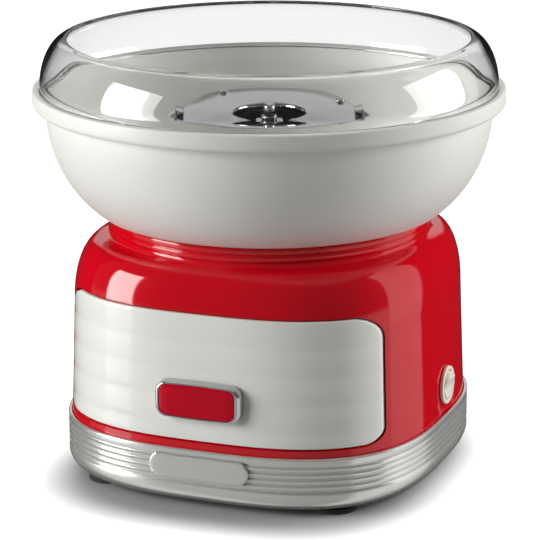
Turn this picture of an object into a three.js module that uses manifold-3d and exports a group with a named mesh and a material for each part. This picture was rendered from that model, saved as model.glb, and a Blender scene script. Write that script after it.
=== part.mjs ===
// Table-top electric cotton candy machine, in millimetres, +Z up.
// The origin is on the table under the spindle. The front faces -Y and the switch side faces +X.
import * as THREE from 'three';
import { mergeVertices } from 'three/addons/utils/BufferGeometryUtils.js';
import Module from 'manifold-3d';

const wasm = await Module();
wasm.setup();

// Fits and shared values
const FIT = 0.3;            // gap between parts that touch
const RUNNING = 0.3;        // radial gap of turning parts
const SQUARE_SEGMENTS = 32; // steps round the square parts
const SEGMENTS = 40;        // steps round the large round parts
const MEDIUM = 24;          // steps round the parts inside the chimney
const SMALL = 12;           // steps round the small parts
const SCREW_R = 1.6;        // shank of every screw
const SCREW_HEAD_R = 3.3;
const SCREW_HEAD_H = 2.2;
const SCREW_SEGMENTS = 10;
const BOSS_R = 5.2;         // screw bosses of the housing
const BOSS_DEPTH = 10;
const PILOT_R = SCREW_R + FIT;

// Housing, square in plan with bowed sides
const SQUARENESS = 2.88;    // exponent of the plan outline
const SHELL_WALL = 3.4;
const SHELL_BOTTOM = 11.5;
const FOOT_HALF = 119.3;    // half width of the shell at its foot
const TAPER_START = 40;
const WAIST_HALF = 116.6;   // half width where the shoulder starts
const SHOULDER_START = 113;
const DECK_TOP = 151.3;
const SHOULDER_INSET = 15.1;
const DECK_HOLE_R = 50;

// Collar that the bowl stands on
const COLLAR_HEIGHT = 13.6;
const COLLAR_TOP = DECK_TOP + COLLAR_HEIGHT;
const COLLAR_R = 103.8;
const COLLAR_NECK_R = 101.8;
const COLLAR_INNER_R = 99.4;
const COLLAR_SINK = 1.3;    // how far the collar starts below the deck
const COLLAR_FLARE = 3;     // how far its foot spreads
const BEAD_HEIGHT = 7.4;    // from the neck's end to the rolled top

// Trim ring
const RING_TOP = 39;
const RING_BOTTOM = 3.6;
const RING_WALL = 2.2;
const GROOVES = 5;
const GROOVE_TOP = 33.4;
const GROOVE_PITCH = 3.85;
const GROOVE_DEPTH = 1;
const GROOVE_HALF = 0.8;
const RING_TUCK = 4.6;      // how far the lower edge curves in
const RING_BAND = 14.4;     // height where the plain lower band starts

// Base plate and feet
const BASE_BOTTOM = 3.6;
const BASE_THICK = 2.8;
const BASE_LIP = 13;
const FOOT_X = 76.5;
const FOOT_Y = 85.5;
const FOOT_R = 14;
const FOOT_STEM_R = 4;
const BASE_SCREW_X = 109.5;
const BASE_SCREW_Y = 32;
const BASE_SCREW_LENGTH = 24;
const VENTS = 7;
const VENT_PITCH = 8;
const VENT_LENGTH = 56;
const VENT_WIDTH = 3.6;

// Front panel, badge and nameplate
const PANEL_HALF = 105.2;   // half width at the housing's foot
const PANEL_LOW = 44.6;
const PANEL_HIGH = 124.4;
const PANEL_CORNER_LOW = 8.5;
const PANEL_CORNER_HIGH = 14;
const PANEL_THICK = 1.4;
const PANEL_GROOVE = 1.1;   // dark gap round the panel
const FLUTES = 4;
const FLUTE_RISE = 0.9;
const BADGE_HALF_W = 26.8;
const BADGE_HALF_H = 9.9;
const BADGE_CORNER = 4.6;
const BADGE_RISE = 6;
const BADGE_FLARE = 3;      // how far its sides spread towards the panel
const BADGE_Z = 70.9;
const BADGE_BOW = 0.8;      // how far its top and bottom edges bulge
const BADGE_RIM_SIDE = 3;
const BADGE_RIM_TOP = 0.5;
const INLAY_CORNER = 3;
const INLAY_DEPTH = 1.6;
const PLATE_HALF_W = 29;
const PLATE_HALF_H = 7.3;
const PLATE_Z = 27.8;
const PLATE_END = 4;        // how far the rounded ends stand out
const PLATE_THICK = 1.3;

// Rocker switch on the right side
const SWITCH_Y = 6;
const SWITCH_Z = 56.5;
const DISH_R = 19;
const DISH_DEPTH = 1.6;
const BEZEL_R = 12.5;
const BEZEL_THICK = 2.2;
const BARREL_R = 10.9;
const BARREL_BORE = 9.8;
const BARREL_LENGTH = 17;
const CUP_FLOOR = 1.5;
const ROCKER_R = 9.4;
const ROCKER_END = 6.2;     // height of the V face above the pivot, at its ends
const ROCKER_VALLEY = 3.6;  // and in its middle
const ROCKER_BACK = 4;      // from the pivot to the rocker's flat back
const ROCKER_TILT = 11;     // degrees each way from level
const PIVOT_SET = 1.2;      // how far the pivot lies behind the rim's back
const PIVOT_R = 1.1;
const PIVOT_HALF = 10.1;    // from the middle to the end of each pivot pin
const TERMINAL_LENGTH = 7;
const TERMINAL_DROP = 5;
const TERMINAL_HALF = 2.4;
const TERMINAL_THICK = 0.8;

// Bowl
const BOWL_R = 150;
const WALL_HEIGHT = 68.9;   // from the collar's top to the flange
const FLANGE_BOTTOM = COLLAR_TOP + WALL_HEIGHT;
const FLANGE_HEIGHT = 11.2;
const BOWL_TOP = FLANGE_BOTTOM + FLANGE_HEIGHT;
const BOWL_WAIST_R = 142;   // outer radius just under the flange
const BOWL_AXIS_R = 75;     // centre radius of the elliptic wall
const BOWL_DROP = 78.2;     // height of the elliptic wall
const BOWL_WALL = 2.6;
const BOWL_SINK = 7.9;      // how far its floor lies below the collar's top
const BOWL_FLOOR = COLLAR_TOP - BOWL_SINK;
const BOWL_FOOT_R = 98.8;
const CHIMNEY_HEIGHT = 61.1; // above the collar's top
const CHIMNEY_TOP = COLLAR_TOP + CHIMNEY_HEIGHT;
const CHIMNEY_R = 65;       // inner radius at the lip
const CHIMNEY_WALL = 2;
const CHIMNEY_FOOT_R = 68.8;
const RABBET_DEPTH = 3.4;
const RABBET_WIDTH = 3.6;
const RABBET_R = 146;
const RIM_ROUND = 1.6;      // rounding of the flange's outer edges
const WELL_FILLET = 2;      // slopes at the foot of the chimney and of the wall

// Splash guard
const GUARD_HEIGHT = 31.6;
const GUARD_TOP = BOWL_TOP + GUARD_HEIGHT;
const GUARD_TOP_R = 128;
const GUARD_WALL = 1.8;
const GUARD_SWELL = 1.4;    // extra thickness at its foot
const SWELL_HEIGHT = 8.6;   // height over which the foot thins out

// Heater tower
const TOWER_R = 57;
const TOWER_WALL = 2.4;
const TOWER_HEIGHT = 45.7;
const TOWER_TOP = DECK_TOP + TOWER_HEIGHT;
const TOWER_FLANGE_R = 68;
const TOWER_FLANGE = 2.6;
const TOWER_SCREW_R = 63.8;
const TOWER_SCREWS = 3;
const TOWER_SCREW_LENGTH = 8.6;
const HEAT_DISH_R = 63;
const HEAT_DISH_TOP = TOWER_TOP + 24;
const SHEET = 1;            // sheet metal thickness
const ELEMENT_R = 42;
const ELEMENT_TUBE = 3.4;
const ELEMENT_Z = TOWER_TOP + 7.8;
const ELEMENT_LEG = 11;     // length of its ends below the tower's top
const ELEMENT_BEND = 4.6;   // height of the bend where an end turns up
const ELEMENT_END_X = 11;
const INSULATORS = 3;
const BUSH_R = 10;
const BUSH_LENGTH = 7;

// Spinner head
const HEAD_GAP = 14.6;      // from the tower's top to the pan
const HEAD_BOTTOM = TOWER_TOP + HEAD_GAP;
const HEAD_HEIGHT = 18.4;
const HEAD_TOP = HEAD_BOTTOM + HEAD_HEIGHT;
const HEAD_R = 57.8;
const HOPPER_R = 23;
const PLATE_SHEET = 1.2;
const BAND_R = 56.4;
const BAND_SLOTS = 24;
const BAND_SLOT_WIDTH = 1.8;
const BAND_MARGIN = 2.5;    // from the slots to the edges of the band
const PAN_WALL_INSET = 3.4; // from the rivets to the pan's low wall
const PAN_WALL_HEIGHT = 6.5;
const SKIRT = 2.4;          // depth of the disc's turned-down edges
const RIVET_R = 52.9;       // distance of the rivets from the spindle
const RIVET_SHANK = 1.4;
const RIVET_ANGLES = [51.6, 145.8];
const HEAD_TURN = 22;       // degrees of the clips and wings from +X
const HUB_R = 6.6;
const STUD_R = 2.2;
const CAP_NUT_R = 3.7;
const WING_HALF = 9.2;
const WING_THICK = 5.2;
const WING_HEIGHT = 10.2;
const WASHER_THICK = 1.3;
const POST_TOP = HEAD_TOP + 4.2;

// Motor
const SHAFT_R = 3;
const SHAFT_BOTTOM = 62;
const SHAFT_TOP = TOWER_TOP + 16.5;
const PIN_Z = TOWER_TOP + 10.2;
const PIN_R = 1.2;
const MOTOR_R = 27;
const MOTOR_WALL = 1.4;
const MOTOR_BOTTOM = 84;
const MOTOR_TOP = DECK_TOP - 8.1;
const END_CAP = 6;
const MAGNET_THICK = 3.4;
const ARMATURE_R = 20.8;
const ARMATURE_LOW = 102;
const ARMATURE_HIGH = 130;
const ARMATURE_SLOTS = 5;
const ARMATURE_SLOT_WIDTH = 4;
const WINDING_R = 13.5;
const WINDING_END = 5;      // height of the winding beyond the stack
const BEARING_R = 7;
const BEARING_LENGTH = 5.2;
const BEARING_SET = 0.4;    // from the motor's ends to its bearings
const BEARING_WALL = 1.8;
const COMMUTATOR_R = 7.5;
const COMMUTATOR_LENGTH = 5;
const BRUSH_BOX_END = 20;
const BRUSH_BOX_HALF = 4;
const BRUSH_BOX_HEIGHT = 6.4;
const BRUSH_HALF = 2.6;
const TAG_X = 14;           // tags under the end cap
const TAG_Y = -9.2;
const TAG_LOW = 78;
const BRACKET_THICK = 1.8;
const BRACKET_HALF_X = 78;
const BRACKET_HALF_Y = 18;
const BRACKET_SCREW_X = 72;
const BRACKET_SCREW_LENGTH = 6;
const FAN_R = 27;
const FAN_Z = 66;
const FAN_HEIGHT = 10;
const FAN_BLADES = 6;
const FAN_SHEET = 1.2;

// Electrics in the base
const GLAND_Z = 52;
const GLAND_R = 6;
const GLAND_BORE = 3.8;
const GLAND_FLANGE = 3;     // how far its outer flange stands out
const GLAND_COLLAR = 1.6;   // and its inner collar
const BLOCK_X = 34;
const BLOCK_Y = 16;
const BLOCK_Z = 13;
const BLOCK_PLACE = [0, 84];
const BLOCK_STEP = 10;
const BLOCK_HOLE_R = 2.4;
const BORE_RISE = 5;        // from the floor to its wire bores
const BOARD_PLACE = [-62, 30];
const BOARD_HALF = 20;
const BOARD_HEIGHT = 28;
const BOARD_THICK = 1.6;
const CAPACITOR_R = 6;
const LEAD_R = 1.3;

const machine = new THREE.Group();

// Closed mesh with merged corners and faces pointing out, as a solid
function toSolid(geometry) {
  const plain = geometry.clone();
  plain.deleteAttribute('normal');
  plain.deleteAttribute('uv');
  const merged = mergeVertices(plain, 1e-4);
  const place = merged.attributes.position.array;
  const corners = Uint32Array.from(merged.index.array);
  const corner = (index) => new THREE.Vector3().fromArray(place, 3 * index);
  let volume = 0;
  for (let i = 0; i < corners.length; i += 3) {
    const [a, b, c] = [0, 1, 2].map((k) => corner(corners[i + k]));
    volume += a.dot(b.cross(c));
  }
  if (volume < 0) {
    for (let i = 0; i < corners.length; i += 3) {
      [corners[i + 1], corners[i + 2]] = [corners[i + 2], corners[i + 1]];
    }
  }
  const vertProperties = Float32Array.from(place);
  return new wasm.Manifold(new wasm.Mesh({ numProp: 3, vertProperties, triVerts: corners }));
}

function toGeometry(solid) {
  const mesh = solid.getMesh();
  const geometry = new THREE.BufferGeometry();
  const place = new THREE.BufferAttribute(Float32Array.from(mesh.vertProperties), 3);
  geometry.setAttribute('position', place);
  geometry.setIndex(new THREE.BufferAttribute(Uint32Array.from(mesh.triVerts), 1));
  geometry.computeVertexNormals();
  return geometry;
}

// Adds one named part. Its finish is a colour with a roughness and a metalness.
function addPart(name, solid, finish) {
  const [color, roughness, metalness] = finish;
  const material = new THREE.MeshStandardMaterial({ color, roughness, metalness });
  const mesh = new THREE.Mesh(toGeometry(solid), material);
  mesh.name = name;
  machine.add(mesh);
  return mesh;
}

// Round solid about Z from a closed list of [radius, height]
function turned(profile, segments = SEGMENTS) {
  const onAxis = profile[0][0] === 0 && profile[profile.length - 1][0] === 0;
  const points = profile.map(([r, z]) => new THREE.Vector2(r, z));
  if (!onAxis) points.push(points[0].clone());
  const geometry = new THREE.LatheGeometry(points, segments);
  geometry.rotateX(Math.PI / 2);
  return geometry;
}

// Presses a turned solid into the housing's square plan
function squared(geometry) {
  const place = geometry.attributes.position;
  for (let i = 0; i < place.count; i += 1) {
    const x = place.getX(i);
    const y = place.getY(i);
    const r = Math.hypot(x, y);
    if (r > 0) {
      const c = Math.abs(x / r) ** SQUARENESS;
      const s = Math.abs(y / r) ** SQUARENESS;
      const k = (c + s) ** (-1 / SQUARENESS);
      place.setXY(i, x * k, y * k);
    }
  }
  return geometry;
}

const lathe = (profile, segments) => toSolid(turned(profile, segments));
const squareLathe = (profile) => toSolid(squared(turned(profile, SQUARE_SEGMENTS)));

function cylinder(r, low, high, x = 0, y = 0, segments = SMALL) {
  const geometry = new THREE.CylinderGeometry(r, r, high - low, segments);
  geometry.rotateX(Math.PI / 2);
  geometry.translate(x, y, (low + high) / 2);
  return toSolid(geometry);
}

function box(lowX, highX, lowY, highY, lowZ, highZ) {
  const geometry = new THREE.BoxGeometry(highX - lowX, highY - lowY, highZ - lowZ);
  geometry.translate((lowX + highX) / 2, (lowY + highY) / 2, (lowZ + highZ) / 2);
  return toSolid(geometry);
}

// Extrudes an outline drawn in X and Z from y = from towards the front (-Y)
function frontPrism(shape, from, depth, bevel = {}) {
  const options = { depth, bevelEnabled: false, curveSegments: 4, ...bevel };
  const geometry = new THREE.ExtrudeGeometry(shape, options);
  geometry.rotateX(Math.PI / 2);
  geometry.translate(0, from, 0);
  return toSolid(geometry);
}

// Rectangle with round corners, whose top and bottom may bow out
function roundedOutline(halfW, low, high, corner, bow = 0, topCorner = corner) {
  const shape = new THREE.Shape();
  shape.moveTo(-halfW + corner, low);
  shape.quadraticCurveTo(0, low - bow, halfW - corner, low);
  shape.absarc(halfW - corner, low + corner, corner, -Math.PI / 2, 0, false);
  shape.absarc(halfW - topCorner, high - topCorner, topCorner, 0, Math.PI / 2, false);
  shape.quadraticCurveTo(0, high + bow, -halfW + topCorner, high);
  shape.absarc(-halfW + topCorner, high - topCorner, topCorner, Math.PI / 2, Math.PI, false);
  shape.absarc(-halfW + corner, low + corner, corner, Math.PI, Math.PI * 1.5, false);
  return shape;
}

const turn = (degrees) => (degrees * Math.PI) / 180;
const along = (r, degrees) => [r * Math.cos(turn(degrees)), r * Math.sin(turn(degrees))];
const mix = (a, b, t) => a + (b - a) * t;

// Finishes
const RED = ['#c8041c', 0.12, 0];
const WHITE = ['#e9e8e4', 0.25, 0];
const SILVER = ['#c9cac8', 0.22, 1];
const PANEL = ['#d8d8d2', 0.35, 0.6];
const CHROME = ['#dedfe0', 0.08, 1];
const BLACK = ['#1b1b1c', 0.6, 0];
const RUBBER = ['#151515', 0.85, 0];
const CLEAR = ['#eef1f2', 0.05, 0];
const STEEL = ['#b9babc', 0.35, 1];
const DARK_STEEL = ['#4a4a4c', 0.45, 1];
const CERAMIC = ['#e8e2d4', 0.6, 0];
const COPPER = ['#b06a3a', 0.35, 1];
const MAGNET = ['#3a3a3c', 0.7, 0];
const BRASS = ['#b79a52', 0.35, 1];
const GREEN = ['#2c6b45', 0.6, 0];
const BEIGE = ['#d9d2c0', 0.5, 0];
const LEAD_RED = ['#a52222', 0.5, 0];
const LEAD_BLUE = ['#2b4fa0', 0.5, 0];

// Half width of the housing at a height
function shellHalf(z) {
  if (z <= TAPER_START) return FOOT_HALF;
  if (z <= SHOULDER_START) {
    return mix(FOOT_HALF, WAIST_HALF, (z - TAPER_START) / (SHOULDER_START - TAPER_START));
  }
  const t = Math.min(1, (z - SHOULDER_START) / (DECK_TOP - SHOULDER_START));
  return WAIST_HALF - SHOULDER_INSET * (1 - Math.sqrt(1 - t * t));
}

// Outline of the housing as [half width, height], pushed in by an offset
function shellProfile(offset, low, steps) {
  const points = [[0, low], [FOOT_HALF - offset, low], [FOOT_HALF - offset, TAPER_START]];
  const rise = DECK_TOP - SHOULDER_START;
  for (let i = 0; i <= steps; i += 1) {
    const angle = (i / steps) * Math.PI / 2;
    const z = SHOULDER_START + (rise - offset) * Math.sin(angle);
    const half = WAIST_HALF - offset - SHOULDER_INSET * (1 - Math.cos(angle));
    points.push([half, z]);
  }
  points.push([0, DECK_TOP - offset]);
  return points;
}

// Collar, a short neck with a rolled bead round its top
function collarProfile() {
  const low = DECK_TOP - COLLAR_SINK;
  const neck = COLLAR_TOP - BEAD_HEIGHT;
  const bead = BEAD_HEIGHT / 2;
  return [
    [COLLAR_NECK_R + COLLAR_FLARE, low], [COLLAR_NECK_R + 0.8, low + 3.4], [COLLAR_NECK_R, neck],
    [COLLAR_NECK_R, neck + 2], [COLLAR_R - 0.4, COLLAR_TOP - bead], [COLLAR_R, COLLAR_TOP - 0.6 * bead],
    [COLLAR_R - 1.4, COLLAR_TOP], [COLLAR_INNER_R, COLLAR_TOP], [COLLAR_INNER_R, low],
  ];
}

const switchFace = shellHalf(SWITCH_Z);

// Shallow bowl-shaped cutter of the switch recess
function switchDish() {
  const profile = [];
  const steps = 3;
  const reach = 1.15 * DISH_R;
  for (let i = 0; i <= steps; i += 1) {
    const r = (reach * i) / steps;
    profile.push([r, switchFace - DISH_DEPTH * (1 - (r / DISH_R) ** 2)]);
  }
  profile.push([reach, switchFace + 2 * DISH_DEPTH], [0, switchFace + 2 * DISH_DEPTH]);
  return toSwitch(turned(profile, 24));
}

// Turns a solid made about Z so that its axis points to +X at the switch
function toSwitch(geometry) {
  geometry.rotateY(Math.PI / 2);
  geometry.translate(0, SWITCH_Y, SWITCH_Z);
  return toSolid(geometry);
}

// Outline of the panel, narrowing towards the top with the housing
function panelOutline(grow) {
  const [low, high] = [PANEL_LOW - grow, PANEL_HIGH + grow];
  const corners = [PANEL_CORNER_LOW + grow, PANEL_CORNER_HIGH + grow];
  const outline = roundedOutline(PANEL_HALF + grow, low, high, corners[0], 0, corners[1]);
  const narrowed = (p) => new THREE.Vector2((p.x * shellHalf(p.y)) / FOOT_HALF, p.y);
  return new THREE.Shape(outline.getPoints(4).map(narrowed));
}
const panelBlock = (grow) => frontPrism(panelOutline(grow), -PANEL_HALF / 3, FOOT_HALF);

const bracketTop = MOTOR_TOP + FIT + BRACKET_THICK;
const bracketHoles = [-1, 1].map((side) => [side * BRACKET_SCREW_X, 0]);
const thirds = [...Array(TOWER_SCREWS).keys()].map((i) => 90 + (i * 360) / TOWER_SCREWS);
const towerHoles = thirds.map((degrees) => along(TOWER_SCREW_R, degrees));
const quarters = [[1, -1], [-1, -1], [-1, 1], [1, 1]];
const baseHoles = quarters.map(([x, y]) => [x * BASE_SCREW_X, y * BASE_SCREW_Y]);

function bodyShell() {
  let shell = squareLathe(shellProfile(0, SHELL_BOTTOM, 6));
  shell = shell.subtract(squareLathe(shellProfile(SHELL_WALL, SHELL_BOTTOM - SHELL_WALL, 3)));
  shell = shell.add(lathe(collarProfile()));
  const [under, over] = [DECK_TOP - 2 * SHELL_WALL, DECK_TOP + SHELL_WALL];
  shell = shell.subtract(cylinder(DECK_HOLE_R, under, over, 0, 0, SEGMENTS));
  for (const [x, y] of bracketHoles) {
    shell = shell.add(cylinder(BOSS_R, bracketTop + FIT, DECK_TOP - SHELL_WALL / 2, x, y));
    shell = shell.subtract(cylinder(PILOT_R, bracketTop, DECK_TOP - 1, x, y));
  }
  for (const [x, y] of towerHoles) {
    shell = shell.add(cylinder(BOSS_R, DECK_TOP - BOSS_DEPTH, DECK_TOP - SHELL_WALL / 2, x, y));
    shell = shell.subtract(cylinder(PILOT_R, DECK_TOP - BOSS_DEPTH + 1, DECK_TOP + FIT, x, y));
  }
  for (const [x, y] of baseHoles) {
    shell = shell.add(cylinder(BOSS_R, BASE_LIP + FIT, TAPER_START, x, y));
    shell = shell.subtract(cylinder(PILOT_R, BASE_LIP, TAPER_START - SHELL_WALL, x, y));
  }
  // recess of the front panel
  const recess = PANEL_THICK + FLUTE_RISE / 2 + FIT;
  const [low, high] = [PANEL_LOW - 2 * PANEL_GROOVE, PANEL_HIGH + 2 * PANEL_GROOVE];
  const skin = squareLathe([
    [FOOT_HALF - recess, low], [FOOT_HALF + SHELL_WALL, low], [FOOT_HALF + SHELL_WALL, high],
    [shellHalf(PANEL_HIGH) - recess, high], [shellHalf(SHOULDER_START) - recess, SHOULDER_START],
  ]);
  shell = shell.subtract(skin.intersect(panelBlock(PANEL_GROOVE)));
  // dished recess and hole of the switch
  shell = shell.subtract(switchDish());
  const hole = new THREE.CylinderGeometry(BARREL_R + FIT, BARREL_R + FIT, 4 * SHELL_WALL, 24);
  hole.rotateX(Math.PI / 2);
  hole.translate(0, 0, switchFace);
  shell = shell.subtract(toSwitch(hole));
  // hole of the cord gland at the back
  const gland = new THREE.CylinderGeometry(GLAND_R + FIT, GLAND_R + FIT, 4 * SHELL_WALL, SMALL);
  gland.translate(0, FOOT_HALF, GLAND_Z);
  return shell.subtract(toSolid(gland));
}

// Ribbed trim ring: a plain top edge, the grooves and a lower band that tucks in
function baseRing() {
  const half = FOOT_HALF + FIT + RING_WALL;
  const inner = FOOT_HALF + FIT;
  const outside = [[inner + 0.6, RING_TOP], [half - 0.6, RING_TOP], [half, RING_TOP - 0.8]];
  for (let i = 0; i < GROOVES; i += 1) {
    const z = GROOVE_TOP - i * GROOVE_PITCH;
    outside.push([half, z + GROOVE_HALF], [half - GROOVE_DEPTH, z], [half, z - GROOVE_HALF]);
  }
  outside.push([half, RING_BAND]);
  const steps = 3;
  for (let i = 1; i <= steps; i += 1) {
    const t = i / steps;
    outside.push([half - RING_TUCK * t ** 2.2, mix(RING_BAND, RING_BOTTOM, t)]);
  }
  const inside = [
    [half - RING_TUCK - 1.9, RING_BOTTOM], [half - RING_TUCK + 0.6, RING_BOTTOM + 3.6],
    [inner, RING_BOTTOM + 6], [inner, RING_TOP - 0.6],
  ];
  return squareLathe([...outside, ...inside]);
}

// Outline with straight top and bottom and two bowed ends
function plateOutline() {
  const shape = new THREE.Shape();
  const [low, high] = [PLATE_Z - PLATE_HALF_H, PLATE_Z + PLATE_HALF_H];
  shape.moveTo(-PLATE_HALF_W, low);
  shape.lineTo(PLATE_HALF_W, low);
  shape.quadraticCurveTo(PLATE_HALF_W + 2 * PLATE_END, PLATE_Z, PLATE_HALF_W, high);
  shape.lineTo(-PLATE_HALF_W, high);
  shape.quadraticCurveTo(-PLATE_HALF_W - 2 * PLATE_END, PLATE_Z, -PLATE_HALF_W, low);
  return shape;
}

function nameplate() {
  const back = FOOT_HALF + FIT + RING_WALL + FIT;
  const skin = squareLathe([
    [back, PLATE_Z - 2 * PLATE_HALF_H], [back + PLATE_THICK, PLATE_Z - 2 * PLATE_HALF_H],
    [back + PLATE_THICK, PLATE_Z + 2 * PLATE_HALF_H], [back, PLATE_Z + 2 * PLATE_HALF_H],
  ]);
  return skin.intersect(frontPrism(plateOutline(), -FOOT_HALF / 2, FOOT_HALF));
}

const footPlaces = quarters.map(([x, y]) => [x * FOOT_X, y * FOOT_Y]);

// Bottom cover with an upstanding lip, screw collars and vent slots
function basePlate() {
  const edge = FOOT_HALF - SHELL_WALL - FIT;
  const lip = 2;
  const top = BASE_BOTTOM + BASE_THICK;
  const rim = [[0, BASE_BOTTOM], [edge - 1.2, BASE_BOTTOM], [edge, top + 0.4], [edge, BASE_LIP]];
  const room = squareLathe([...rim, [0, BASE_LIP]]);
  let plate = squareLathe([...rim, [edge - lip, BASE_LIP], [edge - lip, top], [0, top]]);
  for (const [x, y] of baseHoles) {
    const recess = BASE_BOTTOM + SCREW_HEAD_H + 2 * FIT;
    const boss = cylinder(SCREW_HEAD_R + 3 * FIT + lip, BASE_BOTTOM + 1, BASE_LIP, x, y);
    plate = plate.add(boss.intersect(room));
    plate = plate.subtract(cylinder(SCREW_HEAD_R + FIT, BASE_BOTTOM - 1, recess, x, y));
    plate = plate.subtract(cylinder(PILOT_R, BASE_BOTTOM, BASE_LIP + 1, x, y));
  }
  for (const [x, y] of footPlaces) {
    plate = plate.subtract(cylinder(FOOT_STEM_R + FIT, BASE_BOTTOM - 1, top + 1, x, y));
  }
  const [halfWidth, halfLength] = [VENT_WIDTH / 2, VENT_LENGTH / 2];
  for (let i = 0; i < VENTS; i += 1) {
    const x = (i - (VENTS - 1) / 2) * VENT_PITCH;
    const slot = box(x - halfWidth, x + halfWidth, -halfLength, halfLength, BASE_BOTTOM - 1, top + 1);
    plate = plate.subtract(slot);
  }
  return plate;
}

function rubberFoot() {
  const seat = BASE_BOTTOM - FIT;
  const top = BASE_BOTTOM + BASE_THICK;
  return lathe([
    [0, 0], [FOOT_R - 1, 0], [FOOT_R, 0.8], [FOOT_R - 0.8, seat], [FOOT_STEM_R, seat],
    [FOOT_STEM_R, top + FIT], [FOOT_STEM_R + 1.3, top + FIT], [FOOT_STEM_R - 0.8, top + 2.2],
    [0, top + 2.2],
  ], SMALL);
}

// Screw that points up, with its head's underside at z = 0
function screw(length) {
  return lathe([
    [0, -SCREW_HEAD_H], [SCREW_HEAD_R - 0.8, -SCREW_HEAD_H], [SCREW_HEAD_R, 0], [SCREW_R, 0],
    [SCREW_R, length], [0, length],
  ], SCREW_SEGMENTS);
}

// Front of the fluted panel as [half width, height], raised by an offset
function fluteProfile(offset) {
  const points = [];
  const stepsPerFlute = 4;
  const count = FLUTES * stepsPerFlute;
  for (let i = 0; i <= count; i += 1) {
    const z = mix(PANEL_LOW, PANEL_HIGH, i / count);
    const phase = (i % stepsPerFlute) / stepsPerFlute;
    const bulge = (4 * phase * (1 - phase) - 0.5) * FLUTE_RISE;
    points.push([shellHalf(z) + bulge + offset, z]);
  }
  const [first, last] = [points[0], points[count]];
  return [[first[0], PANEL_LOW - 1], ...points, [last[0], PANEL_HIGH + 1]];
}

function frontPanel() {
  const back = (z) => shellHalf(z) - PANEL_THICK - FLUTE_RISE / 2;
  const inside = [PANEL_HIGH + 1, SHOULDER_START, PANEL_LOW - 1].map((z) => [back(z), z]);
  return squareLathe([...fluteProfile(0), ...inside]).intersect(panelBlock(0));
}

const badgeFace = shellHalf(BADGE_Z) + BADGE_RISE;
function badgeOutline(side, top, corner) {
  const half = BADGE_HALF_H - top;
  return roundedOutline(BADGE_HALF_W - side, BADGE_Z - half, BADGE_Z + half, corner, 2 * BADGE_BOW);
}

function badgeFrame() {
  const round = BADGE_RISE - FIT;
  const depth = 4;
  const bevel = {
    bevelEnabled: true, bevelThickness: round, bevelSize: BADGE_FLARE, bevelSegments: 3,
  };
  const outline = badgeOutline(0, 0, BADGE_CORNER);
  const block = frontPrism(outline, -badgeFace + round + depth, depth, bevel);
  const panel = squareLathe([[0, PANEL_LOW - 1], ...fluteProfile(FIT), [0, PANEL_HIGH + 1]]);
  const pocket = badgeOutline(BADGE_RIM_SIDE, BADGE_RIM_TOP, INLAY_CORNER);
  return block.subtract(panel).subtract(frontPrism(pocket, -badgeFace + INLAY_DEPTH, 2 * INLAY_DEPTH));
}

function badgeInlay() {
  const outline = badgeOutline(BADGE_RIM_SIDE + FIT, BADGE_RIM_TOP + FIT, INLAY_CORNER - FIT);
  return frontPrism(outline, -badgeFace + INLAY_DEPTH - FIT, INLAY_DEPTH - 2 * FIT);
}

const bezelBack = switchFace - DISH_DEPTH * (1 - (BEZEL_R / DISH_R) ** 2) + FIT;
const switchBack = bezelBack - BARREL_LENGTH;
const rockerPivot = bezelBack - PIVOT_SET;

function switchHousing() {
  const front = bezelBack + BEZEL_THICK;
  const floor = switchBack + CUP_FLOOR;
  const cup = turned([
    [0, switchBack], [BARREL_R, switchBack], [BARREL_R, bezelBack], [BEZEL_R - 0.3, bezelBack],
    [BEZEL_R, bezelBack + 0.5], [BEZEL_R - 0.5, front - 0.5], [BEZEL_R - 1.4, front],
    [BARREL_BORE + 0.5, front], [BARREL_BORE, front - 0.5], [BARREL_BORE, floor], [0, floor],
  ], 20);
  const pinHole = new THREE.CylinderGeometry(PIVOT_R + FIT, PIVOT_R + FIT, 2 * (PIVOT_HALF + FIT), 12);
  pinHole.translate(rockerPivot, SWITCH_Y, SWITCH_Z);
  let housing = toSwitch(cup).subtract(toSolid(pinHole));
  for (const side of [-1, 1]) {
    const tab = new THREE.BoxGeometry(TERMINAL_LENGTH + 0.5, 2 * TERMINAL_HALF, TERMINAL_THICK);
    const x = switchBack + (0.5 - TERMINAL_LENGTH) / 2;
    tab.translate(x, SWITCH_Y, SWITCH_Z + side * TERMINAL_DROP);
    housing = housing.add(toSolid(tab));
  }
  return housing;
}

// Ball-sided rocker with a shallow V face, tipped so that its upper end stands proud
function switchRocker() {
  const ball = new THREE.SphereGeometry(ROCKER_R, 18, 10);
  const face = new THREE.Shape();
  const reach = ROCKER_R + 1;
  face.moveTo(-ROCKER_BACK, -reach);
  face.lineTo(ROCKER_END, -reach);
  face.lineTo(ROCKER_VALLEY, 0);
  face.lineTo(ROCKER_END, reach);
  face.lineTo(-ROCKER_BACK, reach);
  const slab = new THREE.ExtrudeGeometry(face, { depth: 4 * ROCKER_R, bevelEnabled: false });
  slab.rotateX(Math.PI / 2);
  slab.translate(0, 2 * ROCKER_R, 0);
  let rocker = toSolid(ball).intersect(toSolid(slab));
  const pin = new THREE.CylinderGeometry(PIVOT_R, PIVOT_R, 2 * PIVOT_HALF, 12);
  rocker = rocker.add(toSolid(pin));
  const geometry = toGeometry(rocker);
  geometry.rotateY(turn(ROCKER_TILT));
  geometry.translate(rockerPivot, SWITCH_Y, SWITCH_Z);
  return toSolid(geometry);
}

const bowlR = (z) => BOWL_AXIS_R
  + (BOWL_WAIST_R - BOWL_AXIS_R) * Math.sqrt(1 - ((FLANGE_BOTTOM - z) / BOWL_DROP) ** 2);

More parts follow.
